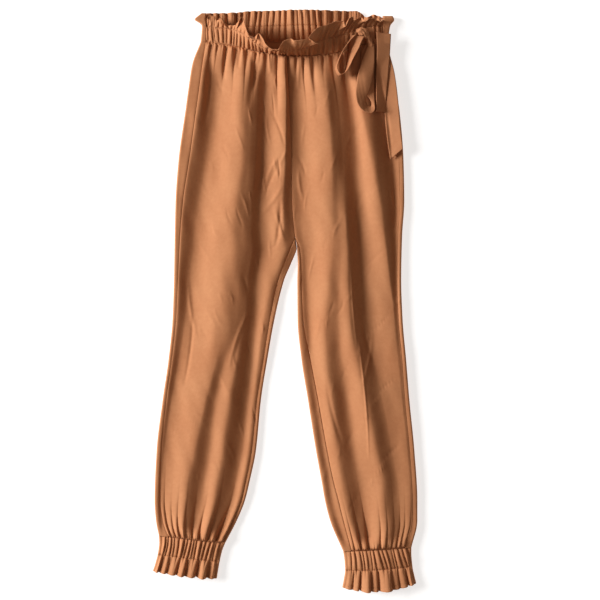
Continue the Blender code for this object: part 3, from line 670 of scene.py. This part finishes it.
def peach_twill(name, light, deep):
    """Soft rust twill with a brushed face: fine diagonal ribs, a faint nap and low sheen."""
    material, shader, start = new_shader(name, {
        "Base Color": light, "Roughness": 0.7, "Specular IOR Level": 0.2,
        "Sheen Weight": 0.08, "Sheen Roughness": 0.45, "Sheen Tint": (1.0, 0.72, 0.5, 1),
    })
    cut = start.node("ShaderNodeUVMap", {"uv_map": "cut"})
    across, down, _ = cut.axes()
    ribs = start.maths("SINE", (across + down) * (2 * math.pi / RIB_PITCH))
    yarns = start.maths("SINE", (across - down * 0.6) * (2 * math.pi / YARN_PITCH))
    nap = cut.noise(900.0, 3.0)
    drift = cut.noise(14.0, 3.0)
    slub = cut.noise(160.0, 4.0)
    # The ribs term makes the colour lighter on the rib crests and darker in the rib valleys:
    # painted shade in the weave's grooves. The drift, slub and nap terms are the cloth's own
    # random tone.
    shade = (drift - 0.5) * 1.1 + (slub - 0.5) * 0.7 + (nap - 0.5) * 0.5 + ribs * 0.06 + 0.5
    roughness = 0.66 + nap * 0.14
    material.node_tree.links.new(roughness.socket, shader.inputs["Roughness"])
    relief = ribs * 0.5 + yarns * 0.25 + nap * 1.4 + slub * 0.8
    surface(material, shader, shade.mix(deep, light), relief, 0.22, 0.00012)
    return material


TWILL = peach_twill("rust_twill", (0.585, 0.288, 0.146, 1), (0.48, 0.208, 0.098, 1))


def dress(piece, node, material=TWILL):
    """Give a sheet its cloth and let it stand for its solid."""
    piece.data.materials.append(material)
    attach(piece, "root")
    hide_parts(node)
    return piece


front_rows = {leg: front(leg) for leg in (RIGHT, LEFT)}
for leg, side in ((RIGHT, "right"), (LEFT, "left")):
    sheet = cloth_sheet(f"cloth_front_{side}", front_rows[leg], turned=leg is LEFT)
    piece = dress(sheet, f"front_{side}")

# ------ Backs ------
# Two backs of the same twill, a little wider than the fronts. They lie flat on the floor,
# and come up over the flat edges of the legs to the seams that show just inside them.
ROLL = 2.8  # how far in from its edge the flat leg rounds over
FORK_REACH = 57.0  # how far below the fork its rows still slant
SIDE_POINTS = 14  # of a row, from the side seam to the edge
FLOOR_POINTS = 22
INSEAM_POINTS = 8


def roll(edge_x, edge_y, towards, top, turns):
    """Cloth rounding over a flat edge, from the floor (-90 degrees) to the top (90)."""
    angle = np.radians(turns)
    reach = ROLL * (1 - np.cos(angle))
    z = top / 2 * (1 + np.sin(angle))
    return points(edge_x + towards[0] * reach, edge_y + towards[1] * reach, z)


OVER = np.linspace(90, -82, 15)
UP_AGAIN = OVER[::-1]


def back(leg):
    """Rows over a back: from the side seam over the edge, along the floor and up again."""
    rows = []
    fork_slant = FORK_Y - CROTCH_Y
    for level in leg_rows(leg):
        side_y = level + leg.swing(level, 0)
        inner_swing = leg.swing(level, 1)
        edge_x = leg.outer("edge", side_y)
        side_x = leg.outer("seam", side_y)
        start_x = edge_x - leg.sign * ROLL
        shown = np.linspace(side_x, start_x, SIDE_POINTS)
        shown_z = lie(leg, shown, side_y) + seam_sink(shown - side_x, leg.side_seam)
        row = [
            points(shown[:-1], level, shown_z[:-1]),
            roll(edge_x, level, (-leg.sign, 0), shown_z[-1], OVER),
        ]
        end_x, end_y = leg.inner("edge", level), level
        rest = [points([end_x], end_y, 0)]
        if level <= FORK_Y:
            slant = fork_slant * ease(level, FORK_Y - FORK_REACH, FORK_Y)
            turn = math.radians(90) * slant / fork_slant
            towards = (leg.sign * math.cos(turn), math.sin(turn))
            inner_y = level - slant
            inner_x = leg.inner("edge", inner_y + inner_swing)
            end_x, end_y = inner_x + towards[0] * ROLL, inner_y + towards[1] * ROLL
            end_top = lie(leg, end_x, end_y + inner_swing)
            seam_x = leg.inner("seam", level + inner_swing)
            run = np.linspace(0, 1, INSEAM_POINTS)[1:]
            up_x, up_y = end_x + (seam_x - end_x) * run, end_y + (level - end_y) * run
            sink = seam_sink(np.hypot(up_x - seam_x, up_y - level), INSEAM_SINK)
            rest = [
                roll(inner_x, inner_y, towards, end_top, UP_AGAIN),
                points(up_x, up_y, lie(leg, up_x, up_y + inner_swing) + sink),
            ]
        flat = np.linspace(0, 1, FLOOR_POINTS)[1:-1]
        row.append(points(start_x + (end_x - start_x) * flat, level + (end_y - level) * flat, 0))
        row = np.concatenate(row + rest)
        row[:, 1] += leg.swing(level, row_share(leg, row[:, 0], level))
        rows.append(row)
    return rows


for leg, side in ((RIGHT, "right"), (LEFT, "left")):
    sheet = cloth_sheet(f"cloth_back_{side}", back(leg), turned=leg is RIGHT)
    piece = dress(sheet, f"back_{side}")

# ------ Waist casing, front ------
# A folded band of the same twill with wide elastic inside, which draws it into close ridges.
# It is sewn to the fronts below, and in the middle it stands up off the floor.
CASING = 27.0  # depth of the casing
CASING_PUFF = 1.0
CASING_STEPS = 24
RIDGES = (3.6, 30, 0.9, 1.4)  # height, reach, start of the variation and skew
RIDGE_START = 0.12  # share of the way up where the ridges have risen


def lean(degrees):
    """Directions up a turned-up band and square to it, as (y, z) pairs."""
    angle = np.radians(degrees)
    return (np.cos(angle), np.sin(angle)), (-np.sin(angle), np.cos(angle))


CASING_CREASES = np.concatenate((spaced(-148, 30, 6.4, 0.9), spaced(38, 180, 8.8, 0.2)))


def casing_ridges(place, up):
    """Ridges of a gathered casing: flatter where its two seams hold them."""
    hold = 0.35 + 0.65 * np.sin(np.pi * np.clip(up, 0, 1)) ** 0.7
    slant = place + 2.2 * np.sin(place / 11) * (up - 0.5)
    return gathers(slant, 0, CASING_CREASES, *RIDGES) * hold


def casing_front():
    """Rows of the casing, up from the fronts' own top rows."""
    seam = np.concatenate((front_rows[RIGHT][0], front_rows[LEFT][0][-2::-1]))
    x, y, z = seam.T
    (along_y, along_z), (off_y, off_z) = lean(read(WAIST, "lean", x))
    rows = []
    for up in np.linspace(0, 1, CASING_STEPS + 1):
        length = CASING * up
        left = CASING * (1 - up)
        rise = CASING_PUFF * np.sin(np.pi * up) + casing_ridges(x, up) * ease(up, 0, RIDGE_START)
        rise = rise + seam_sink(left) + 0.5 * pucker(x + 2) * np.exp(-left / 2.5)
        over = z + along_z * length + off_z * rise
        rows.append(points(x, y + along_y * length + off_y * rise, over))
    return rows


casing_rows = casing_front()
sheet = cloth_sheet("cloth_waist_casing_front", casing_rows, turned=True)
piece = dress(sheet, "waist_casing_front")

# ------ Waist frill, front ------
# The free paperbag edge: the same band of cloth past the elastic's top line of stitching,
# hemmed narrow. It fans out in uneven flutes, and curls over where the waist stands up.
FRILL = 26.0
FRILL_STEPS = 26
HEM = 5.0  # from the free edge to the line of stitches
# Its free edge, from the right side seam to the left one: a place along the casing,
# and where the edge above that place lies.
FREE_EDGE = table(
    "seam x y z",
    (-137, -135, 480.5, 15),
    (-131, -130.6, 486, 16),
    (-124, -122, 485, 17),
    (-119, -117, 480, 12),
    (-114, -110.5, 479, 30),
    (-107, -103, 467.5, 18),
    (-98, -92, 460.5, 15),
    (-91, -83.5, 463.5, 24),
    (-84.5, -77.3, 474, 46),
    (-79.3, -74.5, 479.5, 38),
    (-72.4, -66.7, 456, 58),
    (-67.2, -60, 440.3, 60),
    (-60.3, -49.8, 436, 61),
    (-53.4, -45.6, 447.6, 62),
    (-46.5, -39.6, 441.3, 64),
    (-38, -32.8, 428, 66),
    (-29.3, -23.6, 420.5, 67),
    (-19, -12.7, 418.8, 67),
    (-10.3, -7.7, 427.3, 66),
    (-3.4, -1.9, 435.7, 63),
    (7, 8.5, 439.5, 61),
    (13.8, 15, 435.3, 64),
    (20.7, 24, 436.2, 64),
    (27.6, 39.3, 437.6, 61),
    (34.5, 56, 431.8, 55),
    (39.7, 44.3, 436.1, 63),
    (43.1, 39.2, 440.6, 62),
    (50, 56.3, 461.6, 46),
    (60.3, 71.7, 467, 40),
    (70.7, 85.4, 472.9, 36),
    (79.3, 97.4, 474, 33),
    (84.5, 101.4, 463.8, 36),
    (89.6, 109.3, 479.7, 30),
    (96.5, 114.5, 482.4, 27),
    (105.2, 119.7, 477.7, 29),
    (113.8, 128.2, 482, 25),
    (124, 136, 473.3, 32),
    (134.5, 144.7, 480.3, 24),
    (143, 155, 480.8, 23),
    (150, 161.6, 473.5, 28),
    (157, 166.8, 478, 22),
    (166, 165.5, 476, 16),
)
FRILL_COLUMNS = 12  # for each place of the free edge
BEND_RISE = 14.0  # how far the frill first follows the casing
BEND_FAN = 0.35  # and the share of its fan that it has there
FLUTES = (1.5, 30, 0.3)  # height, reach and start of the variation


def hem_roll(away):
    """The narrow hem at a free edge: a fuller edge, and a dip along its line of stitches."""
    return 0.5 * np.exp(-((away / 1.3) ** 2)) - 0.5 * np.exp(-(((away - HEM) / 0.9) ** 2))


def frill_front():
    """Rows of the frill: up from the casing's top row, bending over to the free edge."""
    last = last_row(FREE_EDGE)
    seam, x, y, z = rows_at(FREE_EDGE, np.linspace(0, last, last * FRILL_COLUMNS + 1))
    top_x, top_y, top_z = casing_rows[-1].T
    low_y, low_z = np.interp(seam, top_x, top_y), np.interp(seam, top_x, top_z)
    (along_y, along_z), _ = lean(read(WAIST, "lean", seam))
    flutes = gathers(seam, 0, spaced(-140, 170, 7.4, 0.8), *FLUTES)
    rows = []
    for up in np.linspace(0, 1, FRILL_STEPS + 1):
        start, bend, end = (1 - up) ** 2, 2 * up * (1 - up), up**2
        ripple = casing_ridges(seam, 0.5) * 0.8 * np.exp(-up * 2.4) * ease(up, 0, RIDGE_START)
        ripple = ripple + flutes * np.sin(np.pi * up) - 0.5 * np.exp(-up * FRILL / 2)
        ripple = ripple + hem_roll((1 - up) * FRILL)
        rows.append(points(
            seam * start + (seam + (x - seam) * BEND_FAN) * bend + x * end,
            low_y * start + (low_y + along_y * BEND_RISE) * bend + y * end - along_z * ripple,
            low_z * start + (low_z + along_z * BEND_RISE) * bend + z * end + along_y * ripple,
        ))
    return rows


frill_rows = frill_front()
sheet = cloth_sheet("cloth_waist_frill_front", frill_rows, turned=True)
piece = dress(sheet, "waist_frill_front")

# ------ Stitching of the waist ------
# Twisted polyester thread, a shade lighter than the cloth. One line of plain stitches holds
# the elastic in its casing, and one runs along the frill's narrow hem, front and back.
THREAD_RADIUS = 0.24
STITCH_LENGTH = 2.6
STITCH_BODY = 0.6  # share of its length that is straight
STITCH_TAPER = 0.6  # its ends narrow to this
STITCH_DIP = 0.8  # and go down by this share of the radius
STITCH_PITCH = 3.1
STITCH_STEP = 0.9  # along the row, each way, to find which way a stitch runs
STITCH_RISE = 0.1  # above the cloth
THREAD_PITCH = 0.0009  # metres, from one turn of the twist to the next
OBJECT_OUTPUT = 3  # of a Texture Coordinate node


def twisted_thread(name, light, deep):
    """Thread with the fine slanting bands of its plies."""
    material, shader, start = new_shader(
        name, {"Base Color": light, "Roughness": 0.55, "Specular IOR Level": 0.3}
    )
    place = start.node("ShaderNodeTexCoord", out=OBJECT_OUTPUT)
    x, y, z = place.axes()
    bands = start.maths("SINE", (x + y + z) * (2 * math.pi / THREAD_PITCH))
    fuzz = place.noise(2500.0, 2.0)
    shade = bands * 0.25 + fuzz * 0.6 + 0.2
    surface(material, shader, shade.mix(deep, light), bands + fuzz, 0.4, 0.00008)
    return material


THREAD = twisted_thread("rust_thread", (0.66, 0.36, 0.2, 1), (0.46, 0.22, 0.11, 1))


def one_stitch():
    """A single stitch along X: a round thread that narrows where it dips into the cloth."""
    bpy.ops.object.select_all(action="DESELECT")
    bpy.ops.mesh.primitive_cylinder_add(
        vertices=8, radius=THREAD_RADIUS * MM, depth=STITCH_LENGTH * STITCH_BODY * MM,
        rotation=(0, math.pi / 2, 0),
    )
    stitch = bpy.context.object
    bpy.ops.object.transform_apply(location=True, rotation=True, scale=True)
    end = STITCH_LENGTH * (1 - STITCH_BODY) / 2
    for side in (-1, 1):
        bpy.ops.object.mode_set(mode="EDIT")
        bpy.ops.mesh.select_mode(type="FACE")
        bpy.ops.mesh.select_all(action="DESELECT")
        bpy.ops.object.mode_set(mode="OBJECT")
        for face in stitch.data.polygons:
            face.select = face.normal.x * side > 0.9
        bpy.ops.object.mode_set(mode="EDIT")
        bpy.ops.mesh.extrude_region_move(TRANSFORM_OT_translate={
            "value": (side * end * MM, 0, -THREAD_RADIUS * STITCH_DIP * MM),
        })
        bpy.ops.transform.resize(value=(1, STITCH_TAPER, STITCH_TAPER))
        bpy.ops.object.mode_set(mode="OBJECT")
    stitch.data.shade_smooth()
    return stitch


def stitch_line(name, rows, number, turned=False):
    """A line of stitches along one row of a sheet, on the side that the sheet shows."""
    row = rows[number]
    down = rows[number] - rows[number - 1]
    way = travelled(row)
    places = np.arange(STITCH_PITCH / 2, way[-1], STITCH_PITCH)

    def at(values, where):
        return np.column_stack([np.interp(where, way, column) for column in values.T])

    along = at(row, places + STITCH_STEP) - at(row, places - STITCH_STEP)
    up = np.cross(at(down, places), along) * (-1 if turned else 1)
    along, up = [ways / np.linalg.norm(ways, axis=1)[:, None] for ways in (along, up)]
    aside = np.cross(up, along)
    here = (at(row, places) + up * STITCH_RISE) * MM
    stitch = one_stitch()
    copies = []
    for axes in zip(along, aside, up, here):
        copy = stitch.copy()
        copy.data = stitch.data.copy()
        columns = [[*column, 0] for column in axes[:3]] + [[*axes[3], 1]]
        copy.data.transform(Matrix(columns).transposed())
        bpy.context.scene.collection.objects.link(copy)
        copies.append(copy)
    bpy.data.objects.remove(stitch)
    bpy.ops.object.select_all(action="DESELECT")
    for copy in copies:
        copy.select_set(True)
    line = copies[0]
    bpy.context.view_layer.objects.active = line
    bpy.ops.object.join()
    line.name = name
    line.data.name = name
    line.data.materials.append(THREAD)
    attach(line, "root")


HEM_ROW = round(FRILL_STEPS * (1 - HEM / FRILL))
stitch_line("stitches_waist_casing_front", casing_rows, CASING_STEPS, turned=True)
stitch_line("stitches_waist_hem_front", frill_rows, HEM_ROW, turned=True)

# ------ Waist casing and frill, back ------
# The back half of the same band. It lies on the floor at the sides and rises off it in the
# middle, and its inner side shows through the open waist, pleated by the elastic.
BACK_WAIST = table(
    "depth right_edge left_edge",
    (0, -146.5, 175),
    (27, -144.5, 179),
    (45, -157, 186),
    (53, -146, 184),
)
BACK_FRILL = table(  # how far its free edge falls short of a full frill
    "x short",
    (-155, 9), (-140, 4), (-90, 3), (-60, 0), (120, 0), (131, 5),
    (139, 11), (150, 6), (158, 8), (168, 12), (178, 8), (184, 11),
)
BACK_CREASES = np.concatenate((
    spaced(-158, -80, 11.5, 0.3),
    (-64, -53, -45, -31, -22, -10, 0, 14, 21, 29, 41, 52, 60, 79, 93, 103),
    spaced(126, 190, 12, 0.9),
))
FINE_BACK_CREASES = spaced(-160, 190, 5.1, 1.1)
PLEATS = (4.6, 30, 0.3, 1.4)  # height, reach, start of the variation and skew
FINE_PLEATS = (0.9, 30, 1.1)
BACK_RISE = 13.0  # how far the middle stands off the floor
BACK_RISE_X = 32.0
BACK_RISE_HALF_WIDTH = 50.0
BACK_RISE_DEPTH = 22.0  # past the seam, where it has risen
BACK_COLUMNS = 421


def back_pleats(x, depth):
    """Pleats that run from the back's waist seam through the casing and the frill."""
    slant = x + 3.0 * np.sin(x / 27) * (depth - CASING) / CASING
    pleats = gathers(slant, 0, BACK_CREASES, *PLEATS) + 2.6
    fine = gathers(x, 0, FINE_BACK_CREASES, *FINE_PLEATS)
    line = np.exp(-(((depth - CASING) / 1.6) ** 2))
    spread = 0.75 + 0.4 * ease(depth, CASING, CASING + FRILL)
    rise = BACK_RISE * np.exp(-(((x - BACK_RISE_X) / BACK_RISE_HALF_WIDTH) ** 2))
    pleats = np.maximum((pleats + fine) * spread - 1.2 * line, 0) * ease(depth, 0, 7)
    return pleats + rise * ease(depth, 0, BACK_RISE_DEPTH)


def back_band(depths):
    """Rows of a back waist piece: over one side, along the floor and over the other side."""
    rows = []
    share = np.linspace(0, 1, BACK_COLUMNS)
    right_seam = RIGHT.outer("seam", WAIST_Y)
    left_seam = LEFT.outer("seam", WAIST_Y)
    for depth in depths:
        right = read(BACK_WAIST, "right_edge", depth)
        left = read(BACK_WAIST, "left_edge", depth)
        x = right + ROLL + (left - right - 2 * ROLL) * share
        short = read(BACK_FRILL, "short", x)
        y = WAIST_Y + depth - short * max(depth - CASING, 0) / FRILL
        over = roll(right, y[0], (1, 0), CUFF_EDGE, OVER)
        under = roll(left, y[-1], (-1, 0), CUFF_EDGE, UP_AGAIN)
        rows.append(np.concatenate((
            points(np.linspace(right_seam, over[0, 0], 5)[:-1], y[0], CUFF_EDGE),
            over,
            points(x, y, back_pleats(x, depth) * fade_ends(share, 0.02)),
            under,
            points(np.linspace(under[-1, 0], left_seam, 5)[1:], y[-1], CUFF_EDGE),
        )))
    return rows


for name, depths, size, line, number in (
    ("waist_casing_back", np.linspace(0, CASING, 25), (0.42, 0.03), "casing_back", 24),
    ("waist_frill_back", np.linspace(CASING, CASING + FRILL, 27), (0.44, 0.028), "hem_back", 21),
):
    rows = back_band(depths)
    sheet = cloth_sheet(f"cloth_{name}", rows)
    piece = dress(sheet, name)
    stitch_line(f"stitches_waist_{line}", rows, number)

# ------ Cuffs ------
# Each leg ends in a casing of the same twill, sewn on and drawn in by the elastic inside it.
# Past the line of stitches that holds the elastic, the same strip ends in a free frill.
CUFF = 32.0  # depth of the casing
CUFF_FRILL = 29.5
CUFF_WIDTH = 110.0  # as the places of its creases are measured
RIGHT_CUFF_SHAPE = table(
    "down half_width height in_shift sag",
    (0, 57.3, 14, 0, 0),
    (16, 54.2, 14.5, -0.9, 0),
    (32, 53.6, 13.5, -2, 0),
    (48, 54.2, 15, -3.6, 0.5),
    (62, 55.3, 17, -5.3, 1.5),
)
LEFT_CUFF_SHAPE = table(
    "down half_width height in_shift sag",
    (0, 58.7, 14, 0, 0),
    (16, 57.6, 14.5, -0.4, 0.5),
    (32, 57.9, 13.5, -0.8, 2),
    (48, 60.6, 15, -0.4, 5),
    (62, 63.6, 17, 0, 9),
)
UNDER_WAVES = 6  # of the frill's back where it lies on the floor
UNDER_WAVE = 1.1
FLUTE_DROP = 0.14  # how far a flute's crest reaches down past the frill's edge
CUFF_RIDGES = (3.6, 30, 0.5)  # height, reach and start of the variation
CUFF_FLUTES = (8.4, 30, 0.2)
CUFF_RIDGE_CREASES = {-1: spaced(0, CUFF_WIDTH, 6.6, 0.5), 1: spaced(0, CUFF_WIDTH, 7.0, 1.4)}
# Deep creases between the frills' flutes, in from the outer end of each cuff.
CUFF_FLUTE_CREASES = {
    -1: (-8, 8, 22, 39, 55, 74.5, 95, 110, 124),
    1: (-6, 10.4, 23.7, 34.1, 57, 68.1, 86.7, 97.8, 116),
}
CUFF_SLANT = {-1: 1.5, 1: 6.5}  # how far the ridges lean over the casing's outer half


def cuff_rows(leg, depths):
    """Closed rows round a cuff: along its top, over, along the floor and up again."""
    shape = RIGHT_CUFF_SHAPE if leg is RIGHT else LEFT_CUFF_SHAPE
    outer_end, inner_end = np.array(leg.cuff)
    across = (inner_end - outer_end) / np.linalg.norm(inner_end - outer_end)
    down = np.array((across[1], -across[0])) * -leg.sign
    middle = (outer_end + inner_end) / 2
    skew = SKEW ** -leg.sign
    share = np.linspace(0, 1, 151)
    under = np.linspace(0, 1, 61)
    ends = fade_ends(share, 0.05)
    place = share * CUFF_WIDTH
    tilt = CUFF_SLANT[leg.sign] * ease(place, 90, 40) + 1.5 * np.sin(place / 6)
    rows = []
    for depth in depths:
        _, half, height, in_shift, sag = [float(read(shape, name, depth)) for name in shape]
        free = max(depth - CUFF, 0) / CUFF_FRILL
        up = min(depth / CUFF, 1)
        held = 0.5 + 0.5 * np.sin(np.pi * up)
        slant = place + tilt * (up - 0.5)
        ridges = gathers(slant, 0, CUFF_RIDGE_CREASES[leg.sign], *CUFF_RIDGES, skew)
        waves = gathers(place, 0, CUFF_FLUTE_CREASES[leg.sign], *CUFF_FLUTES, skew) * free**0.45
        waves = waves + hem_roll(CUFF + CUFF_FRILL - depth) * (free > 0)
        swell = 1.1 * np.sin(np.pi * up) + ridges * held * np.exp(-free * 3.2) + waves
        swell = swell * ends + seam_sink(depth) + seam_sink(depth - CUFF)
        swell = swell + 0.4 * pucker(place * 1.3) * np.exp(-abs(depth - CUFF) / 2)
        arch = CUFF_EDGE + (height - CUFF_EDGE) * np.sin(np.pi * share)
        reach = -half + ROLL + 2 * (half - ROLL) * share
        low = UNDER_WAVE * free * (1 + np.cos(2 * np.pi * under * UNDER_WAVES))
        ring = np.concatenate((
            points(reach, 0, arch + swell),
            roll(half, 0, (-1, 0), CUFF_EDGE, OVER[1:]),
            points(reach[-1] + (reach[0] - reach[-1]) * under, 0, low * fade_ends(under, 0.05)),
            roll(-half, 0, (1, 0), CUFF_EDGE, UP_AGAIN[:-1]),
        ))
        lower = depth + sag * (1 - (ring[:, :1] / half) ** 2)
        lower[:len(share), 0] += FLUTE_DROP * waves * free * ends
        flat = middle + (ring[:, :1] + in_shift) * across + lower * down
        rows.append(np.column_stack((flat, ring[:, 2])))
    return rows


for leg, side in ((RIGHT, "right"), (LEFT, "left")):
    for name, depths, size, number in (
        ("cuff_casing", np.linspace(0, CUFF, 29), (0.30, 0.034), 28),
        ("cuff_frill", np.linspace(CUFF, CUFF + CUFF_FRILL, 27), (0.32, 0.031), 22),
    ):
        rows = cuff_rows(leg, depths)
        sheet = cloth_sheet(f"cloth_{name}_{side}", rows, closed=True, turned=leg is LEFT)
        piece = dress(sheet, f"{name}_{side}")
        stitch_line(f"stitches_{name}_{side}", rows, number, turned=leg is LEFT)

# ------ Tie bow ------
# A narrow pressed tube of the twill, tied in a bow over the casing at the left hip: a small
# loop, a large one, two tails and the knot. Each strip rests on the cloth below it.
RIBBON = "ax ay az bx by bz"
SMALL_LOOP = table(
    RIBBON,
    (113, 451, 2.5, 119, 452, 10),
    (103, 437, 1.5, 106.5, 438, 14),
    (93, 421, 0.8, 96.2, 422, 15),
    (86.6, 405.5, 0.7, 89.4, 406.5, 15),
    (83.8, 395.8, 0.7, 86.6, 396, 15),
    (85.9, 387.5, 0.7, 88.4, 388.5, 16),
    (91.5, 382, 0.7, 94.2, 382.5, 18),
    (97.5, 386.3, 0.8, 102, 386.5, 20),
    (102.4, 396, 1, 108.5, 396, 21),
    (104.8, 410, 1.4, 115, 410, 21),
    (107.5, 428, 2, 124, 427, 19),
    (109, 441, 2.5, 129.5, 440, 15),
    (113, 451, 4, 134, 448, 11),
)
LARGE_LOOP = table(
    RIBBON,
    (141, 436, 8, 151, 438, 7.5),
    (135.5, 423, 9, 151, 425, 8),
    (128, 403, 9.5, 151.3, 405, 8.6),
    (122, 380, 9.2, 148, 383, 8.4),
    (119, 355, 9.4, 143.5, 361, 6),
    (120.5, 339, 10.5, 139, 349, 3),
    (126, 328, 11, 137, 340, 1.2),
    (134.5, 320.5, 10.5, 140, 333, 0.8),
    (145, 318.5, 9.5, 144.5, 331, 0.8),
    (151.8, 326, 7, 146, 336, 0.8),
    (151.5, 343, 3.6, 140, 348, 0.8),
    (151.5, 362, 1.3, 129, 360, 0.9),
    (151.5, 385, 1, 126.5, 385, 1),
    (151.5, 418, 1.2, 129, 420, 1.2),
    (150.8, 438, 1.5, 137, 438, 1.5),
)
SHORT_TAIL = table(
    RIBBON,
    (154.5, 457, 8.5, 179.5, 454.5, 6),
    (155.5, 430, 7.4, 178.5, 430, 4.8),
    (154.5, 390, 6.4, 175.5, 390, 4.2),
    (154.5, 350, 4.8, 172, 350, 3.4),
    (154.5, 321.5, 4, 170.5, 321.5, 2.6),
)
LONG_TAIL = table(
    RIBBON,
    (149, 446, 1.5, 171, 448, 1.4),
    (157, 420, 0.8, 179, 416, 2.4),
    (163, 393, 0.8, 186, 388, 3.6),
    (168, 345, 0.8, 192, 342, 5.6),
    (171, 300, 0.8, 195.5, 297, 7),
    (175.5, 262, 0.8, 198.5, 270, 7),
    (179, 241, 0.8, 200, 259, 6.6),
)
TIE_CLOTH = 1.0  # thickness of the pressed tube
CASING_RISE = 3.2  # puff and ridges of the casing under the bow
GATHER_RISE = 2.1  # and of the gathers below the waist seam
BRIDGED = (-12.0, -6.0, 0.0, 6.0, 12.0)  # how far to each side a strip looks for its support
STRIP_COLUMNS = 15
TIE = peach_twill("rust_tie", (0.58, 0.285, 0.148, 1), (0.48, 0.21, 0.1, 1))


def resting(x, y):
    """Upper side of the left half under a strip that bridges the narrow hollows."""
    panel = np.max([LEFT.top(x + step, y) for step in BRIDGED], axis=0)
    panel = panel + GATHER_RISE * ease(y, WAIST_Y - 95, WAIST_Y - 15)
    seam_y = read(WAIST, "seam_y", x)
    slope = np.tan(np.radians(read(WAIST, "lean", x)))
    casing = read(WAIST, "seam_z", x) + np.maximum(y - seam_y, 0) * slope + CASING_RISE
    return np.where(y > seam_y - 6, np.maximum(panel, casing), panel)


def strip(stations, along):
    """Rows of points over a strip of tie: its two edges' line, rounded a little between."""
    steps = np.linspace(0, last_row(stations), along + 1)
    edges = np.column_stack(rows_at(stations, steps))[:, None]
    share = np.linspace(0, 1, STRIP_COLUMNS)[None, :, None]
    grid = edges[..., :3] * (1 - share) + edges[..., 3:] * share
    grid[..., 2] += resting(grid[..., 0], grid[..., 1]) + TIE_CLOTH
    grid[..., 2] += 0.35 * np.sin(steps[:, None] * 2.1 + share[..., 0] * 2.5)
    return list(grid)


for name, stations, along, size in (
    ("bow_loop_small", SMALL_LOOP, 90, (0.026, 0.145)),
    ("bow_loop_large", LARGE_LOOP, 110, (0.026, 0.24)),
    ("bow_tail_short", SHORT_TAIL, 70, (0.026, 0.14)),
    ("bow_tail_long", LONG_TAIL, 90, (0.026, 0.21)),
):
    sheet = cloth_sheet(f"tie_{name}", strip(stations, along), thickness=TIE_CLOTH)
    piece = dress(sheet, name, TIE)

KNOT = table(
    "x y z radius",
    (121, 456.5, 25.5, 1.2),
    (123.5, 458, 26, 4.2),
    (128, 458, 26.5, 5.8),
    (133.5, 455.5, 26, 5.6),
    (137.5, 450.5, 24, 3.6),
    (141, 444.5, 22.5, 3.4),
    (143.5, 438, 21.8, 4),
    (144.5, 432.5, 21.5, 3),
    (144.8, 429.5, 21.5, 1),
)
KNOT_AROUND = 72
KNOT_RINGS = 64
KNOT_FLATNESS = 0.85  # its height as a share of its width
KNOT_STEP = 0.05  # in rows of the table, each way, to find which way the knot runs


def knot():
    """Closed rings of the knot: the strip wrapped once round the loops and pulled into folds."""
    turn = 2 * np.pi * np.arange(KNOT_AROUND) / KNOT_AROUND
    rows = []
    for at in np.linspace(0, last_row(KNOT), KNOT_RINGS):
        x, y, z, radius = rows_at(KNOT, at)
        ahead = rows_at(KNOT, at + KNOT_STEP)
        before = rows_at(KNOT, at - KNOT_STEP)
        way_x, way_y = ahead[0] - before[0], ahead[1] - before[1]
        length = math.hypot(way_x, way_y)
        ridge = 1 + 0.17 * np.cos(3 * turn + 1.5 * at) + 0.1 * np.cos(7 * turn - 2.2 * at + 1)
        aside = radius * ridge * np.cos(turn)
        rows.append(points(
            x - aside * way_y / length,
            y + aside * way_x / length,
            z + KNOT_FLATNESS * radius * ridge * np.sin(turn),
        ))
    return rows


piece = dress(cloth_sheet("tie_bow_knot", knot(), closed=True), "bow_knot", TIE)

# ------ Floor, light and camera ------
# A pale matt floor, one large soft lamp low on the wearer's right that rakes across the
# folds, a weak soft lamp above, and a camera straight above, a little to the wearer's left.
bpy.ops.object.select_all(action="DESELECT")
bpy.ops.mesh.primitive_plane_add(size=8, location=(0, 0, -0.0004))
floor = bpy.context.object
floor.name = "floor"
pale_floor, _, _ = new_shader("pale_floor", {
    "Base Color": (0.62, 0.62, 0.62, 1), "Roughness": 0.9, "Specular IOR Level": 0.0,
    "Emission Color": (1, 1, 1, 1), "Emission Strength": 0.56,
})
floor.data.materials.append(pale_floor)


def soft_lamp(name, place, size, watts):
    """A square soft lamp that faces the middle of the trousers."""
    lamp = bpy.data.lights.new(name, "AREA")
    lamp.size = size
    lamp.energy = watts
    lamp_object = new_object(name, lamp)
    lamp_object.location = place
    lamp_object.rotation_euler = (-Vector(place)).to_track_quat("-Z", "Y").to_euler()


soft_lamp("key", (-5.2, 1.0, 2.35), 2.6, 448)
soft_lamp("fill", (0.6, -0.4, 3.0), 3.0, 7.5)
scene = bpy.context.scene
scene.view_settings.view_transform = "Standard"
scene.view_settings.look = "Medium High Contrast"
scene.world = bpy.data.worlds.new("studio")
scene.world.use_nodes = True
background = scene.world.node_tree.nodes["Background"]
background.inputs["Color"].default_value = (1, 0.78, 0.62, 1)
background.inputs["Strength"].default_value = 0.14

camera = bpy.data.cameras.new("camera")
camera.lens = 83.6
camera.sensor_width = 36
scene.camera = new_object("camera", camera)
scene.camera.location = (0.0241, 0, 2.4)
